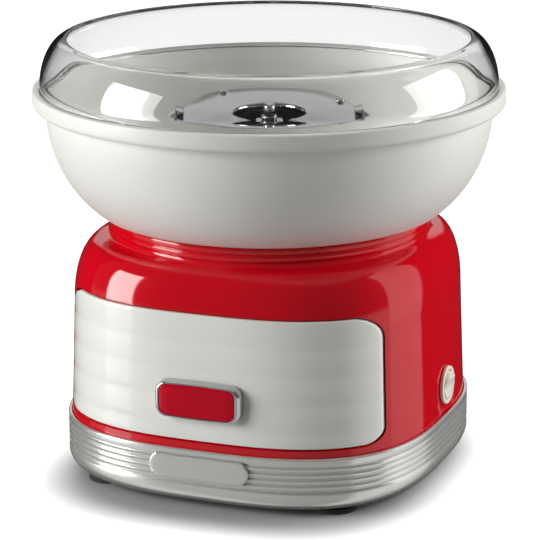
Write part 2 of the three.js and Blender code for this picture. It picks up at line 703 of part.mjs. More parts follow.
// Bowl with a wide rim, a foot that drops inside the collar and a chimney round the head
function bowl() {
  const ledge = COLLAR_TOP + FIT;
  const floor = BOWL_FLOOR + BOWL_WALL;
  const footInner = BOWL_FOOT_R - BOWL_WALL;
  const wall = (low, offset) => {
    const steps = 5;
    const first = Math.acos((FLANGE_BOTTOM - low) / BOWL_DROP);
    return [...Array(steps + 1).keys()].map((i) => {
      const z = FLANGE_BOTTOM - BOWL_DROP * Math.cos(mix(first, Math.PI / 2, i / steps));
      return [bowlR(z) - offset, z];
    });
  };
  const foot = [
    [CHIMNEY_FOOT_R, BOWL_FLOOR], [BOWL_FOOT_R, BOWL_FLOOR], [BOWL_FOOT_R, ledge],
    [bowlR(ledge) - 2.4, ledge],
  ];
  const rim = [
    [BOWL_R - RIM_ROUND, FLANGE_BOTTOM + RIM_ROUND / 2], [BOWL_R, FLANGE_BOTTOM + 1.6 * RIM_ROUND],
    [BOWL_R, BOWL_TOP - RIM_ROUND], [BOWL_R - 1.2, BOWL_TOP], [RABBET_R, BOWL_TOP],
    [RABBET_R, BOWL_TOP - RABBET_DEPTH], [RABBET_R - RABBET_WIDTH, BOWL_TOP - RABBET_DEPTH],
  ];
  const inside = wall(ledge + BOWL_WALL, BOWL_WALL).reverse();
  const well = [
    [footInner, ledge + BOWL_WALL], [footInner, floor + WELL_FILLET], [footInner - WELL_FILLET, floor],
  ];
  const chimneyFoot = CHIMNEY_FOOT_R + CHIMNEY_WALL;
  const chimney = [
    [chimneyFoot + WELL_FILLET, floor], [chimneyFoot, floor + WELL_FILLET],
    [CHIMNEY_R + CHIMNEY_WALL, CHIMNEY_TOP - 1], [CHIMNEY_R + CHIMNEY_WALL / 2, CHIMNEY_TOP],
    [CHIMNEY_R, CHIMNEY_TOP - 1],
  ];
  return lathe([...foot, ...wall(ledge + 1.2, 0), ...rim, ...inside, ...well, ...chimney]);
}

// Clear ring: its thick foot stands in the bowl's rabbet and its wall leans in towards the top
function splashGuard() {
  const foot = BOWL_TOP - RABBET_DEPTH + FIT;
  const footR = RABBET_R - FIT;
  const wallR = (z) => {
    const share = Math.max(0, 1 - ((z - BOWL_TOP) / GUARD_HEIGHT) ** 2);
    return GUARD_TOP_R + (footR - 0.4 - GUARD_TOP_R) * Math.sqrt(share);
  };
  const thickness = (z) => {
    const swell = Math.max(0, (BOWL_TOP + SWELL_HEIGHT - z) / SWELL_HEIGHT);
    return GUARD_WALL + GUARD_SWELL * swell ** 2;
  };
  const outside = [[footR - GUARD_WALL - GUARD_SWELL, foot], [footR, foot], [footR, BOWL_TOP - 0.4]];
  const inside = [];
  for (const degrees of [0, 7.5, 15.5, 31.5, 47.5, 63.5, 79]) {
    const rise = Math.sin(turn(degrees));
    const z = BOWL_TOP + GUARD_HEIGHT * rise;
    outside.push([wallR(z), z]);
    inside.unshift([wallR(z) - thickness(z) - 0.6 * rise, z - GUARD_WALL * 0.5 * rise]);
  }
  outside.push(
    [GUARD_TOP_R + 1.4, GUARD_TOP], [GUARD_TOP_R - 0.4, GUARD_TOP], [GUARD_TOP_R - 0.8, GUARD_TOP - 1],
  );
  return lathe([...outside, ...inside]);
}

// Fixed tower that lifts the heater up into the chimney
function heaterTower() {
  const low = DECK_TOP + FIT;
  let tower = lathe([
    [TOWER_R - TOWER_WALL, low], [TOWER_FLANGE_R, low], [TOWER_FLANGE_R, low + TOWER_FLANGE],
    [TOWER_R, low + TOWER_FLANGE], [TOWER_R, TOWER_TOP], [BUSH_R + FIT, TOWER_TOP],
    [BUSH_R + FIT, TOWER_TOP - TOWER_WALL], [TOWER_R - TOWER_WALL, TOWER_TOP - TOWER_WALL],
  ], MEDIUM);
  for (const [x, y] of towerHoles) {
    tower = tower.subtract(cylinder(PILOT_R, low - 1, low + TOWER_FLANGE + 1, x, y));
  }
  for (const side of [-1, 1]) {
    tower = tower.subtract(elementHole(side, TOWER_TOP - 2 * TOWER_WALL, TOWER_TOP + 1));
  }
  return tower;
}

const elementEndY = Math.sqrt(ELEMENT_R ** 2 - ELEMENT_END_X ** 2);
const elementLow = TOWER_TOP - ELEMENT_LEG;
const elementHole = (side, low, high) => cylinder(
  ELEMENT_TUBE + 0.8, low, high, side * ELEMENT_END_X, elementEndY, 16,
);

function heaterDish() {
  const floor = TOWER_TOP + FIT;
  let dish = lathe([
    [BUSH_R + 4, floor], [HEAT_DISH_R, floor], [HEAT_DISH_R, HEAT_DISH_TOP],
    [HEAT_DISH_R - SHEET, HEAT_DISH_TOP], [HEAT_DISH_R - SHEET, floor + SHEET],
    [BUSH_R + 4, floor + SHEET],
  ], MEDIUM);
  for (const side of [-1, 1]) dish = dish.subtract(elementHole(side, floor - 1, floor + 2));
  return dish;
}

// Tubular element: an open ring whose two ends turn down through the dish
function heatingElement() {
  const gap = Math.asin(ELEMENT_END_X / ELEMENT_R);
  const leg = (side) => [elementLow, TOWER_TOP, ELEMENT_Z - ELEMENT_BEND].map(
    (z) => new THREE.Vector3(side * ELEMENT_END_X, elementEndY, z),
  );
  const steps = 16;
  const ring = [];
  for (let i = 1; i < steps; i += 1) {
    const angle = Math.PI / 2 - gap - (i / steps) * 2 * (Math.PI - gap);
    const [x, y] = [ELEMENT_R * Math.cos(angle), ELEMENT_R * Math.sin(angle)];
    ring.push(new THREE.Vector3(x, y, ELEMENT_Z));
  }
  return tube([...leg(1), ...ring, ...leg(-1).reverse()], ELEMENT_TUBE, 36, 6);
}

// Tube along a smooth curve through the points
function tube(points, radius, steps, sides) {
  const section = new THREE.Shape();
  for (let i = 0; i < sides; i += 1) {
    const [x, y] = along(radius, (i * 360) / sides);
    if (i === 0) section.moveTo(x, y);
    else section.lineTo(x, y);
  }
  const path = new THREE.CatmullRomCurve3(points, false, 'centripetal');
  return toSolid(new THREE.ExtrudeGeometry(section, { steps, extrudePath: path, curveSegments: 1 }));
}

function insulator(degrees) {
  const [x, y] = along(ELEMENT_R, degrees);
  const post = cylinder(ELEMENT_TUBE + 1.8, TOWER_TOP + 2 * FIT + SHEET, ELEMENT_Z - 0.8, x, y, 16);
  const groove = new THREE.TorusGeometry(ELEMENT_R, ELEMENT_TUBE + 0.6, 8, 48);
  groove.translate(0, 0, ELEMENT_Z);
  return post.subtract(toSolid(groove));
}

function shaftBushing() {
  const low = TOWER_TOP - BUSH_LENGTH;
  const shoulder = TOWER_TOP + FIT;
  return lathe([
    [SHAFT_R + RUNNING, low], [BUSH_R, low], [BUSH_R, shoulder],
    [BUSH_R + 2.6, shoulder], [BUSH_R + 2.6, shoulder + 1.6], [SHAFT_R + RUNNING, shoulder + 1.6],
  ], SMALL);
}

function thermalCutout() {
  const top = TOWER_TOP - TOWER_WALL - FIT;
  const x = -30;
  const [discR, discHeight, earReach, tabOut] = [8, 6, 12, 5];
  let disc = cylinder(discR, top - discHeight, top, x, 0);
  disc = disc.add(box(x - earReach, x + earReach, -3, 3, top - 1.2, top));
  for (const tab of [x - tabOut, x + tabOut]) {
    const end = top - discHeight - TERMINAL_LENGTH;
    const [left, right] = [tab - TERMINAL_THICK / 2, tab + TERMINAL_THICK / 2];
    disc = disc.add(box(left, right, -TERMINAL_HALF, TERMINAL_HALF, end, top - discHeight + 1));
  }
  return disc;
}

const rivetPlaces = RIVET_ANGLES.map((angle) => along(RIVET_R, angle));
const rivetHole = ([x, y], low, high) => cylinder(RIVET_SHANK + FIT, low, high, x, y, 12);

// Pan that melts the sugar, with a low wall inside the rivets
function headPan() {
  const top = HEAD_BOTTOM + SHEET;
  const wall = RIVET_R - PAN_WALL_INSET;
  const rim = top + PAN_WALL_HEIGHT;
  let pan = lathe([
    [HUB_R + FIT, HEAD_BOTTOM], [BAND_R, HEAD_BOTTOM], [BAND_R, top], [wall, top],
    [wall, rim], [wall - SHEET, rim], [wall - SHEET, top], [HUB_R + FIT, top],
  ], MEDIUM);
  for (const place of rivetPlaces) pan = pan.subtract(rivetHole(place, HEAD_BOTTOM - 1, top + 1));
  return pan;
}

// Slotted band that the sugar threads leave through
function headBand() {
  const low = HEAD_BOTTOM + SHEET + FIT;
  const high = HEAD_TOP - PLATE_SHEET - FIT;
  const inner = BAND_R - SHEET;
  let band = lathe([[inner, low], [BAND_R, low], [BAND_R, high], [inner, high]], MEDIUM);
  for (let i = 0; i < BAND_SLOTS; i += 1) {
    const slot = new THREE.BoxGeometry(6 * SHEET, BAND_SLOT_WIDTH, high - low - 2 * BAND_MARGIN);
    slot.translate(BAND_R, 0, (low + high) / 2);
    slot.rotateZ(turn((i + 0.5) * (360 / BAND_SLOTS)));
    band = band.subtract(toSolid(slot));
  }
  return band;
}

// Polished disc with rolled edges and the sugar hole
function headPlate() {
  const low = HEAD_TOP - PLATE_SHEET;
  const edge = 0.8;
  let plate = lathe([
    [HOPPER_R, low - SKIRT], [HOPPER_R + SHEET, low - SKIRT], [HOPPER_R + SHEET, low],
    [HEAD_R - SHEET, low], [HEAD_R - SHEET, low - SKIRT], [HEAD_R, low - SKIRT],
    [HEAD_R, HEAD_TOP - edge], [HEAD_R - edge, HEAD_TOP], [HOPPER_R, HEAD_TOP],
  ], 32);
  for (const place of rivetPlaces) plate = plate.subtract(rivetHole(place, low - 1, HEAD_TOP + 1));
  return plate;
}

function headRivet() {
  const low = HEAD_BOTTOM - FIT;
  const high = HEAD_TOP + FIT;
  return lathe([
    [0, low - 1], [2, low - 1], [2.5, low], [RIVET_SHANK, low], [RIVET_SHANK, high],
    [2.6, high], [2.2, high + 0.8], [0, high + 1.1],
  ], SCREW_SEGMENTS);
}

// Spring clip that hooks over the disc and under the pan
function headClip(degrees) {
  const outline = new THREE.Shape();
  const outer = HEAD_R + FIT;
  const top = HEAD_TOP + FIT;
  const low = HEAD_BOTTOM - FIT;
  const [width, thick, hook, crest, swell] = [13, 1.2, 4, 2.4, 2.2];
  outline.moveTo(outer - hook, top);
  outline.lineTo(outer, top);
  outline.lineTo(outer, low);
  outline.lineTo(outer - hook - 1, low);
  outline.lineTo(outer - hook - 1, low - thick);
  outline.lineTo(outer + swell - 0.8, low - thick);
  outline.lineTo(outer + swell, top - hook);
  outline.lineTo(outer + swell - 0.8, top + crest);
  outline.lineTo(outer - hook, top + thick);
  const strap = new THREE.ExtrudeGeometry(outline, { depth: width, bevelEnabled: false });
  strap.rotateX(Math.PI / 2);
  strap.translate(0, width / 2, 0);
  strap.rotateZ(turn(degrees));
  return toSolid(strap);
}

const hubTop = SHAFT_TOP + 2.7;
const studTop = POST_TOP - 3;
const wingLow = hubTop + FIT;
const wingTop = wingLow + WING_HEIGHT + WASHER_THICK;

// Hub that plugs on the shaft, takes the cross pin in a slot and carries the post
function headHub() {
  const seat = HEAD_BOTTOM + SHEET + FIT;
  const low = PIN_Z - 1.8;
  const roof = SHAFT_TOP + FIT;
  const flangeR = HUB_R + 5.4;
  const hub = lathe([
    [0, roof], [SHAFT_R + FIT, roof], [SHAFT_R + FIT, low], [HUB_R, low], [HUB_R, seat],
    [flangeR, seat], [flangeR, seat + 1.6], [HUB_R, seat + 2], [HUB_R, hubTop],
    [STUD_R, hubTop], [STUD_R, studTop], [0, studTop],
  ], SMALL);
  const half = PIN_R + FIT;
  return hub.subtract(box(-HUB_R - 1, HUB_R + 1, -half, half, low - 1, PIN_Z + half));
}

// Nut with two flat wings, in line with the clips, and a washer face on top
function wingNut() {
  const shoulder = wingLow + WING_HEIGHT;
  const cut = 2.5;
  const outline = new THREE.Shape();
  outline.moveTo(-WING_HALF, wingLow);
  outline.lineTo(WING_HALF, wingLow);
  outline.lineTo(WING_HALF, shoulder - cut);
  outline.lineTo(WING_HALF - cut, shoulder);
  outline.lineTo(-WING_HALF + cut, shoulder);
  outline.lineTo(-WING_HALF, shoulder - cut);
  const wings = new THREE.ExtrudeGeometry(outline, { depth: WING_THICK, bevelEnabled: false });
  wings.rotateX(Math.PI / 2);
  wings.translate(0, WING_THICK / 2, 0);
  wings.rotateZ(turn(HEAD_TURN));
  let nut = toSolid(wings).add(cylinder(STUD_R + 2, wingLow, shoulder + 0.5, 0, 0));
  nut = nut.add(cylinder(STUD_R + 2.8, shoulder + 0.2, wingTop, 0, 0));
  return nut.subtract(cylinder(STUD_R + FIT, wingLow - 1, wingTop + 1, 0, 0));
}

function capNut() {
  const low = wingTop + FIT;
  const roof = studTop + FIT;
  return lathe([
    [0, roof], [STUD_R + FIT, roof], [STUD_R + FIT, low], [CAP_NUT_R, low],
    [CAP_NUT_R, POST_TOP - 1.6], [CAP_NUT_R - 0.8, POST_TOP - 0.4], [CAP_NUT_R - 2, POST_TOP],
    [0, POST_TOP],
  ], SMALL);
}

function driveShaft() {
  const shaft = cylinder(SHAFT_R, SHAFT_BOTTOM, SHAFT_TOP, 0, 0);
  const hole = new THREE.CylinderGeometry(PIN_R + FIT, PIN_R + FIT, 4 * SHAFT_R, 12);
  hole.rotateZ(Math.PI / 2);
  hole.translate(0, 0, PIN_Z);
  return shaft.subtract(toSolid(hole));
}

function drivePin() {
  const pin = new THREE.CylinderGeometry(PIN_R, PIN_R, 2 * HUB_R + 1.8, 12);
  pin.rotateZ(Math.PI / 2);
  pin.translate(0, 0, PIN_Z);
  return toSolid(pin);
}

const canBottom = MOTOR_BOTTOM + END_CAP + FIT;

function motorCan() {
  const inner = MOTOR_R - MOTOR_WALL;
  const seat = BEARING_R + FIT;
  const seatLow = MOTOR_TOP - END_CAP;
  const seatOuter = seat + BEARING_WALL;
  return lathe([
    [inner, canBottom], [MOTOR_R, canBottom], [MOTOR_R, MOTOR_TOP - 1], [MOTOR_R - 1, MOTOR_TOP],
    [seat, MOTOR_TOP], [seat, seatLow], [seatOuter, seatLow],
    [seatOuter, MOTOR_TOP - MOTOR_WALL], [inner, MOTOR_TOP - MOTOR_WALL],
  ], MEDIUM);
}

// End cap with two brush boxes beside the commutator and two tags below
function motorEndCap() {
  const top = MOTOR_BOTTOM + END_CAP;
  const seat = BEARING_R + FIT;
  let cap = lathe([[seat, MOTOR_BOTTOM], [MOTOR_R, MOTOR_BOTTOM], [MOTOR_R, top], [seat, top]], MEDIUM);
  const near = COMMUTATOR_R + RUNNING;
  const tagBack = TAG_Y - TERMINAL_THICK / 2;
  for (const side of [-1, 1]) {
    const span = (a, b) => [Math.min(side * a, side * b), Math.max(side * a, side * b)];
    const holder = span(near + 3, BRUSH_BOX_END);
    const brush = span(near, near + 4);
    const tag = span(TAG_X - TERMINAL_HALF, TAG_X + TERMINAL_HALF);
    const holderTop = top + BRUSH_BOX_HEIGHT;
    cap = cap.add(box(...holder, -BRUSH_BOX_HALF, BRUSH_BOX_HALF, top - 1, holderTop));
    cap = cap.add(box(...brush, -BRUSH_HALF, BRUSH_HALF, top + 0.6, holderTop - 1));
    cap = cap.add(box(...tag, tagBack, tagBack + TERMINAL_THICK, TAG_LOW, MOTOR_BOTTOM + 1));
  }
  return cap;
}

function magnet(degrees) {
  const outer = MOTOR_R - MOTOR_WALL - FIT;
  const shape = new THREE.Shape();
  const half = turn(62);
  shape.absarc(0, 0, outer, -half, half, false);
  shape.absarc(0, 0, outer - MAGNET_THICK, half, -half, true);
  const geometry = new THREE.ExtrudeGeometry(shape, {
    depth: ARMATURE_HIGH - ARMATURE_LOW + 4, bevelEnabled: false, curveSegments: 8,
  });
  geometry.translate(0, 0, ARMATURE_LOW - 2);
  geometry.rotateZ(turn(degrees));
  return toSolid(geometry);
}

// Laminated stack with slots, and the winding that shows at both ends
function armature() {
  const [low, high] = [ARMATURE_LOW - WINDING_END, ARMATURE_HIGH + WINDING_END];
  let stack = cylinder(ARMATURE_R, ARMATURE_LOW, ARMATURE_HIGH, 0, 0, 20);
  for (let i = 0; i < ARMATURE_SLOTS; i += 1) {
    const slot = new THREE.BoxGeometry(9, ARMATURE_SLOT_WIDTH, high - low);
    slot.translate(ARMATURE_R - 2, 0, (low + high) / 2);
    slot.rotateZ(turn((i * 360) / ARMATURE_SLOTS));
    stack = stack.subtract(toSolid(slot));
  }
  stack = stack.add(cylinder(WINDING_R, low, high, 0, 0, 20));
  return stack.subtract(cylinder(SHAFT_R + FIT, low - 1, high + 1, 0, 0));
}

function sleeve(inner, outer, low, height) {
  const high = low + height;
  return lathe([[inner, low], [outer, low], [outer, high], [inner, high]], SMALL);
}

function motorBracket() {
  const low = MOTOR_TOP + FIT;
  let plate = box(-BRACKET_HALF_X, BRACKET_HALF_X, -BRACKET_HALF_Y, BRACKET_HALF_Y, low, bracketTop);
  plate = plate.subtract(cylinder(BEARING_R + 2, low - 1, bracketTop + 1, 0, 0));
  for (const [x, y] of bracketHoles) {
    plate = plate.subtract(cylinder(PILOT_R, low - 1, bracketTop + 1, x, y, 16));
  }
  return plate;
}

function coolingFan() {
  const top = FAN_Z + FAN_HEIGHT;
  const root = SHAFT_R + 2;
  let fan = cylinder(SHAFT_R + 3, FAN_Z, top, 0, 0);
  fan = fan.add(cylinder(FAN_R, top - FAN_SHEET, top, 0, 0, MEDIUM));
  for (let i = 0; i < FAN_BLADES; i += 1) {
    const blade = new THREE.BoxGeometry(FAN_R - root, FAN_SHEET, FAN_HEIGHT - FAN_SHEET / 2);
    blade.translate((FAN_R + root) / 2, 0, FAN_Z + (FAN_HEIGHT - FAN_SHEET / 2) / 2);
    blade.rotateZ(turn((i * 360) / FAN_BLADES));
    fan = fan.add(toSolid(blade));
  }
  return fan.subtract(cylinder(SHAFT_R + FIT, FAN_Z - 1, top + 1, 0, 0));
}

// Mains inlet: a flanged grommet held in the back wall
function cordGland() {
  const flangeR = GLAND_R + GLAND_FLANGE;
  const collarR = GLAND_R + GLAND_COLLAR;
  const outer = shellHalf(GLAND_Z - flangeR) + FIT;
  const inner = shellHalf(GLAND_Z + collarR) - SHELL_WALL - FIT;
  const [sleeveEnd, noseEnd] = [inner - 4, outer + 4.4];
  const profile = [
    [GLAND_BORE, sleeveEnd], [collarR, sleeveEnd], [collarR, inner], [GLAND_R, inner],
    [GLAND_R, outer], [flangeR, outer], [flangeR - 0.6, (outer + noseEnd) / 2],
    [GLAND_BORE + 1.2, noseEnd], [GLAND_BORE, noseEnd],
  ];
  const geometry = turned(profile, SMALL);
  geometry.rotateX(-Math.PI / 2);
  geometry.translate(0, 0, GLAND_Z);
  return toSolid(geometry);
}

const floorTop = BASE_BOTTOM + BASE_THICK + FIT;
const blockBore = floorTop + BORE_RISE;

function terminalBlock() {
  const [x, y] = BLOCK_PLACE;
  const top = floorTop + BLOCK_Z;
  const [halfX, halfY] = [BLOCK_X / 2, BLOCK_Y / 2];
  let block = box(x - halfX, x + halfX, y - halfY, y + halfY, floorTop, top);
  for (const step of [-BLOCK_STEP, 0, BLOCK_STEP]) {
    block = block.subtract(cylinder(BLOCK_HOLE_R, top - 4, top + 1, x + step, y, 12));
    const bore = new THREE.CylinderGeometry(LEAD_R + FIT, LEAD_R + FIT, 2 * BLOCK_Y, 10);
    bore.translate(x + step, y, blockBore);
    block = block.subtract(toSolid(bore));
  }
  return block;
}

// Upright board with a capacitor and a bridge on its face and a foot behind
function rectifierBoard() {
  const [x, y] = BOARD_PLACE;
  const [back, face] = [x - BOARD_THICK / 2, x + BOARD_THICK / 2];
  let board = box(back, face, y - BOARD_HALF, y + BOARD_HALF, floorTop, floorTop + BOARD_HEIGHT);
  const can = new THREE.CylinderGeometry(CAPACITOR_R, CAPACITOR_R, 2 * CAPACITOR_R, 16);
  can.rotateZ(Math.PI / 2);
  can.translate(face + CAPACITOR_R - FIT, y - BOARD_HALF / 2, floorTop + BOARD_HEIGHT / 2 + 2);
  board = board.add(toSolid(can));
  board = board.add(box(x, face + 4.2, y + 2, y + 14, floorTop + 12, floorTop + 24));
  return board.add(box(back - 5, x, y - 16, y + 16, floorTop, floorTop + 3));
}

// Inner leads, each a short insulated wire along its own route
const vectors = (rows) => rows.map(([x, y, z]) => new THREE.Vector3(x, y, z));
const blockFront = BLOCK_PLACE[1] - BLOCK_Y / 2;
const boardFace = BOARD_PLACE[0] + BOARD_THICK / 2;
const tagEnd = switchBack - TERMINAL_LENGTH;
const leadSwitchRoute = [
  [BLOCK_STEP, blockFront - FIT, blockBore], [BLOCK_STEP + 2, blockFront - 14, blockBore + 2],
  [40, 46, 24], [74, 26, 34],
  [tagEnd - 14, 8, 49], [tagEnd - 5, SWITCH_Y, SWITCH_Z - TERMINAL_DROP],
  [tagEnd - FIT, SWITCH_Y, SWITCH_Z - TERMINAL_DROP],
];
const leadHeaterRoute = [
  [-BLOCK_STEP, blockFront - FIT, blockBore], [-BLOCK_STEP - 2, blockFront - 12, blockBore + 4],
  [-22, 60, 44], [-24, 54, 84], [-20, 44, 130], [-15, 40, 154],
  [-ELEMENT_END_X, elementEndY, 174], [-ELEMENT_END_X, elementEndY, elementLow - FIT],
];
const leadMotorRoute = [
  [boardFace + FIT, BOARD_PLACE[1] - 17, floorTop + 8], [boardFace + 5, BOARD_PLACE[1] - 17, floorTop + 8.4],
  [-46, 6, 30], [-40, -4, 52], [-36, TAG_Y, 72], [-30, TAG_Y, TAG_LOW + 1.4], [-20, TAG_Y, TAG_LOW + 1.8],
  [-TAG_X - TERMINAL_HALF - FIT, TAG_Y, TAG_LOW + 1.8],
];

// Assembly
addPart('base_plate', basePlate(), BLACK);
footPlaces.forEach(([x, y], i) => {
  addPart(`foot_${i + 1}`, rubberFoot(), RUBBER).position.set(x, y, 0);
});
baseHoles.forEach(([x, y], i) => {
  const seat = BASE_BOTTOM + SCREW_HEAD_H + FIT;
  addPart(`base_screw_${i + 1}`, screw(BASE_SCREW_LENGTH), STEEL).position.set(x, y, seat);
});
addPart('base_ring', baseRing(), SILVER);
addPart('nameplate', nameplate(), SILVER);
addPart('body_shell', bodyShell(), RED);
addPart('front_panel', frontPanel(), PANEL);
addPart('badge_frame', badgeFrame(), CHROME);
addPart('badge_inlay', badgeInlay(), RED);
addPart('switch_housing', switchHousing(), WHITE);
addPart('switch_rocker', switchRocker(), WHITE);
addPart('cord_gland', cordGland(), BLACK);
addPart('bowl', bowl(), WHITE);
addPart('splash_guard', splashGuard(), CLEAR);

addPart('heater_tower', heaterTower(), BLACK);
towerHoles.forEach(([x, y], i) => {
  const part = addPart(`tower_screw_${i + 1}`, screw(TOWER_SCREW_LENGTH), STEEL);
  part.rotation.x = Math.PI;
  part.position.set(x, y, DECK_TOP + 2 * FIT + TOWER_FLANGE);
});
addPart('heater_dish', heaterDish(), STEEL);
addPart('heating_element', heatingElement(), DARK_STEEL);
for (let i = 0; i < INSULATORS; i += 1) {
  addPart(`heater_insulator_${i + 1}`, insulator(30 + (i * 360) / INSULATORS), CERAMIC);
}
addPart('thermal_cutout', thermalCutout(), BEIGE);
addPart('shaft_bushing', shaftBushing(), BRASS);

addPart('motor_can', motorCan(), STEEL);
addPart('motor_end_cap', motorEndCap(), BLACK);
addPart('magnet_1', magnet(90), MAGNET);
addPart('magnet_2', magnet(270), MAGNET);
const bearing = (low) => sleeve(SHAFT_R + RUNNING, BEARING_R, low, BEARING_LENGTH);
addPart('motor_bearing_1', bearing(MOTOR_TOP - BEARING_SET - BEARING_LENGTH), BRASS);
addPart('motor_bearing_2', bearing(MOTOR_BOTTOM + BEARING_SET), BRASS);
addPart('motor_bracket', motorBracket(), STEEL);
bracketHoles.forEach(([x, y], i) => {
  const part = addPart(`bracket_screw_${i + 1}`, screw(BRACKET_SCREW_LENGTH), STEEL);
  part.position.set(x, y, MOTOR_TOP);
});
addPart('terminal_block', terminalBlock(), BEIGE);
addPart('rectifier_board', rectifierBoard(), GREEN);
addPart('lead_switch', tube(vectors(leadSwitchRoute), LEAD_R, 20, 6), LEAD_BLUE);
addPart('lead_heater', tube(vectors(leadHeaterRoute), LEAD_R, 24, 6), LEAD_RED);
addPart('lead_motor', tube(vectors(leadMotorRoute), LEAD_R, 20, 6), LEAD_RED);

addPart('drive_shaft', driveShaft(), STEEL);
addPart('drive_pin', drivePin(), STEEL);
addPart('armature', armature(), COPPER);
const ringLow = MOTOR_BOTTOM + END_CAP + 1;
addPart('commutator', sleeve(SHAFT_R + FIT, COMMUTATOR_R, ringLow, COMMUTATOR_LENGTH), COPPER);
addPart('cooling_fan', coolingFan(), BLACK);

addPart('head_pan', headPan(), STEEL);
addPart('head_band', headBand(), STEEL);
addPart('head_plate', headPlate(), CHROME);
rivetPlaces.forEach(([x, y], i) => {
  addPart(`head_rivet_${i + 1}`, headRivet(), STEEL).position.set(x, y, 0);
});
addPart('head_clip_1', headClip(HEAD_TURN), CHROME);
addPart('head_clip_2', headClip(HEAD_TURN + 180), CHROME);
addPart('head_hub', headHub(), STEEL);
addPart('wing_nut', wingNut(), STEEL);
addPart('cap_nut', capNut(), STEEL);

export default machine;
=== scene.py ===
# %% [markdown]
# # A table-top cotton candy machine
# The machine has a glossy red housing on a ribbed silver ring, a pale fluted panel, a white bowl
# with a clear guard, and a polished spinner head. Every size is in millimetres and is turned into
# metres when a mesh is made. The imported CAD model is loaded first, and the finer pieces below
# stand in the same places as its nodes.

# %% Load the frame
import math

import bmesh
import bpy
import numpy as np
from mathutils import Matrix, Vector
from mathutils.geometry import delaunay_2d_cdt


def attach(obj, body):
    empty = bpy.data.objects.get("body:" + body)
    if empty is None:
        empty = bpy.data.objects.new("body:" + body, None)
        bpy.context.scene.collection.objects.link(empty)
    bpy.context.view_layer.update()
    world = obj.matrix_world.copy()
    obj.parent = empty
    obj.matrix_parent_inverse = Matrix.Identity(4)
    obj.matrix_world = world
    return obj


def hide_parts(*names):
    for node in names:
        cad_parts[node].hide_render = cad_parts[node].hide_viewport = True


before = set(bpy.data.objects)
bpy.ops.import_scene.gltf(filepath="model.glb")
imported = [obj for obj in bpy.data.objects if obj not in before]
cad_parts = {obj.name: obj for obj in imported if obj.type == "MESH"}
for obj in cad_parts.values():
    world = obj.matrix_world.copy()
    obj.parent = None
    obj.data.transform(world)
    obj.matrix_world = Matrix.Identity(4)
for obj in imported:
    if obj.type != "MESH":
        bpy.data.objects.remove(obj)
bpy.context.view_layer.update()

MM = 0.001

# %% [markdown]
# ## The camera
# A picture can be matched only if the camera stands where the photographer's did. The camera is
# placed by its distance, height and two angles, which is easier to adjust than a matrix. The long
# lens keeps the bowl's ellipse flat, as in a product photograph.

# %% Place the camera
CAMERA_TURN = math.radians(21.5)
CAMERA_BACK = 1577.75
CAMERA_HEIGHT = 565.06
CAMERA_DOWN = math.radians(15.67)
CAMERA_ROLL = math.radians(-0.26)
CAMERA_LENS = 168.85
CAMERA_FAR = 30

turn_c, turn_s = math.cos(CAMERA_TURN), math.sin(CAMERA_TURN)
down_c, down_s = math.cos(CAMERA_DOWN), math.sin(CAMERA_DOWN)
level = Vector((-turn_s, turn_c, 0))
aim = level * down_c - Vector((0, 0, down_s))
lift = level * down_s + Vector((0, 0, down_c))
right = Vector((turn_c, turn_s, 0))
roll_c, roll_s = math.cos(CAMERA_ROLL), math.sin(CAMERA_ROLL)
axes = (right * roll_c + lift * roll_s, lift * roll_c - right * roll_s, -aim)

camera = bpy.data.objects.new("camera", bpy.data.cameras.new("camera"))
bpy.context.scene.collection.objects.link(camera)
camera.matrix_world = Matrix([[a[i] for a in axes] + [0] for i in range(3)] + [[0, 0, 0, 1]])
camera.location = Vector((turn_s * CAMERA_BACK, -turn_c * CAMERA_BACK, CAMERA_HEIGHT)) * MM
camera.data.lens = CAMERA_LENS
camera.data.clip_end = CAMERA_FAR
bpy.context.scene.camera = camera
bpy.context.scene.view_settings.view_transform = "Standard"
print("camera at", [round(c, 3) for c in camera.location])

# %% [markdown]
# ## Small helpers for node trees
# Materials, the world and the Geometry Nodes trees are all built from nodes. One helper makes a
# node and fills its inputs, with a link where it is given a socket and a plain value elsewhere.
# A second one does arithmetic, which both kinds of tree share.

# %% Node helpers
def put(tree, kind, feeds=None, **settings):
    made = tree.nodes.new(kind)
    for key, value in settings.items():
        setattr(made, key, value)
    for key, value in (feeds or {}).items():
        if isinstance(value, bpy.types.NodeSocket):
            tree.links.new(value, made.inputs[key])
        else:
            made.inputs[key].default_value = value
    return made


def calc(tree, operation, *values, clamp=False):
    feeds = dict(enumerate(values))
    return put(tree, "ShaderNodeMath", feeds, operation=operation, use_clamp=clamp).outputs[0]


def open_group(name, kind, takes, gives):
    tree = bpy.data.node_groups.new(name, kind)
    for label, sort, value in takes:
        socket = tree.interface.new_socket(label, in_out="INPUT", socket_type="NodeSocket" + sort)
        if value is not None:
            socket.default_value = value
    for label, sort in gives:
        tree.interface.new_socket(label, in_out="OUTPUT", socket_type="NodeSocket" + sort)
    return tree, tree.nodes.new("NodeGroupInput"), tree.nodes.new("NodeGroupOutput")


print("helpers ready")

# %% [markdown]
# ## Effects that several finishes share
# Real surfaces are never perfectly even. Moulded plastic has a faint waviness, handled surfaces
# have patches that shine a little less, and rolled or brushed metal has fine lines. Each effect is
# one shader group with named inputs, so that each finish can use it at its own scale.

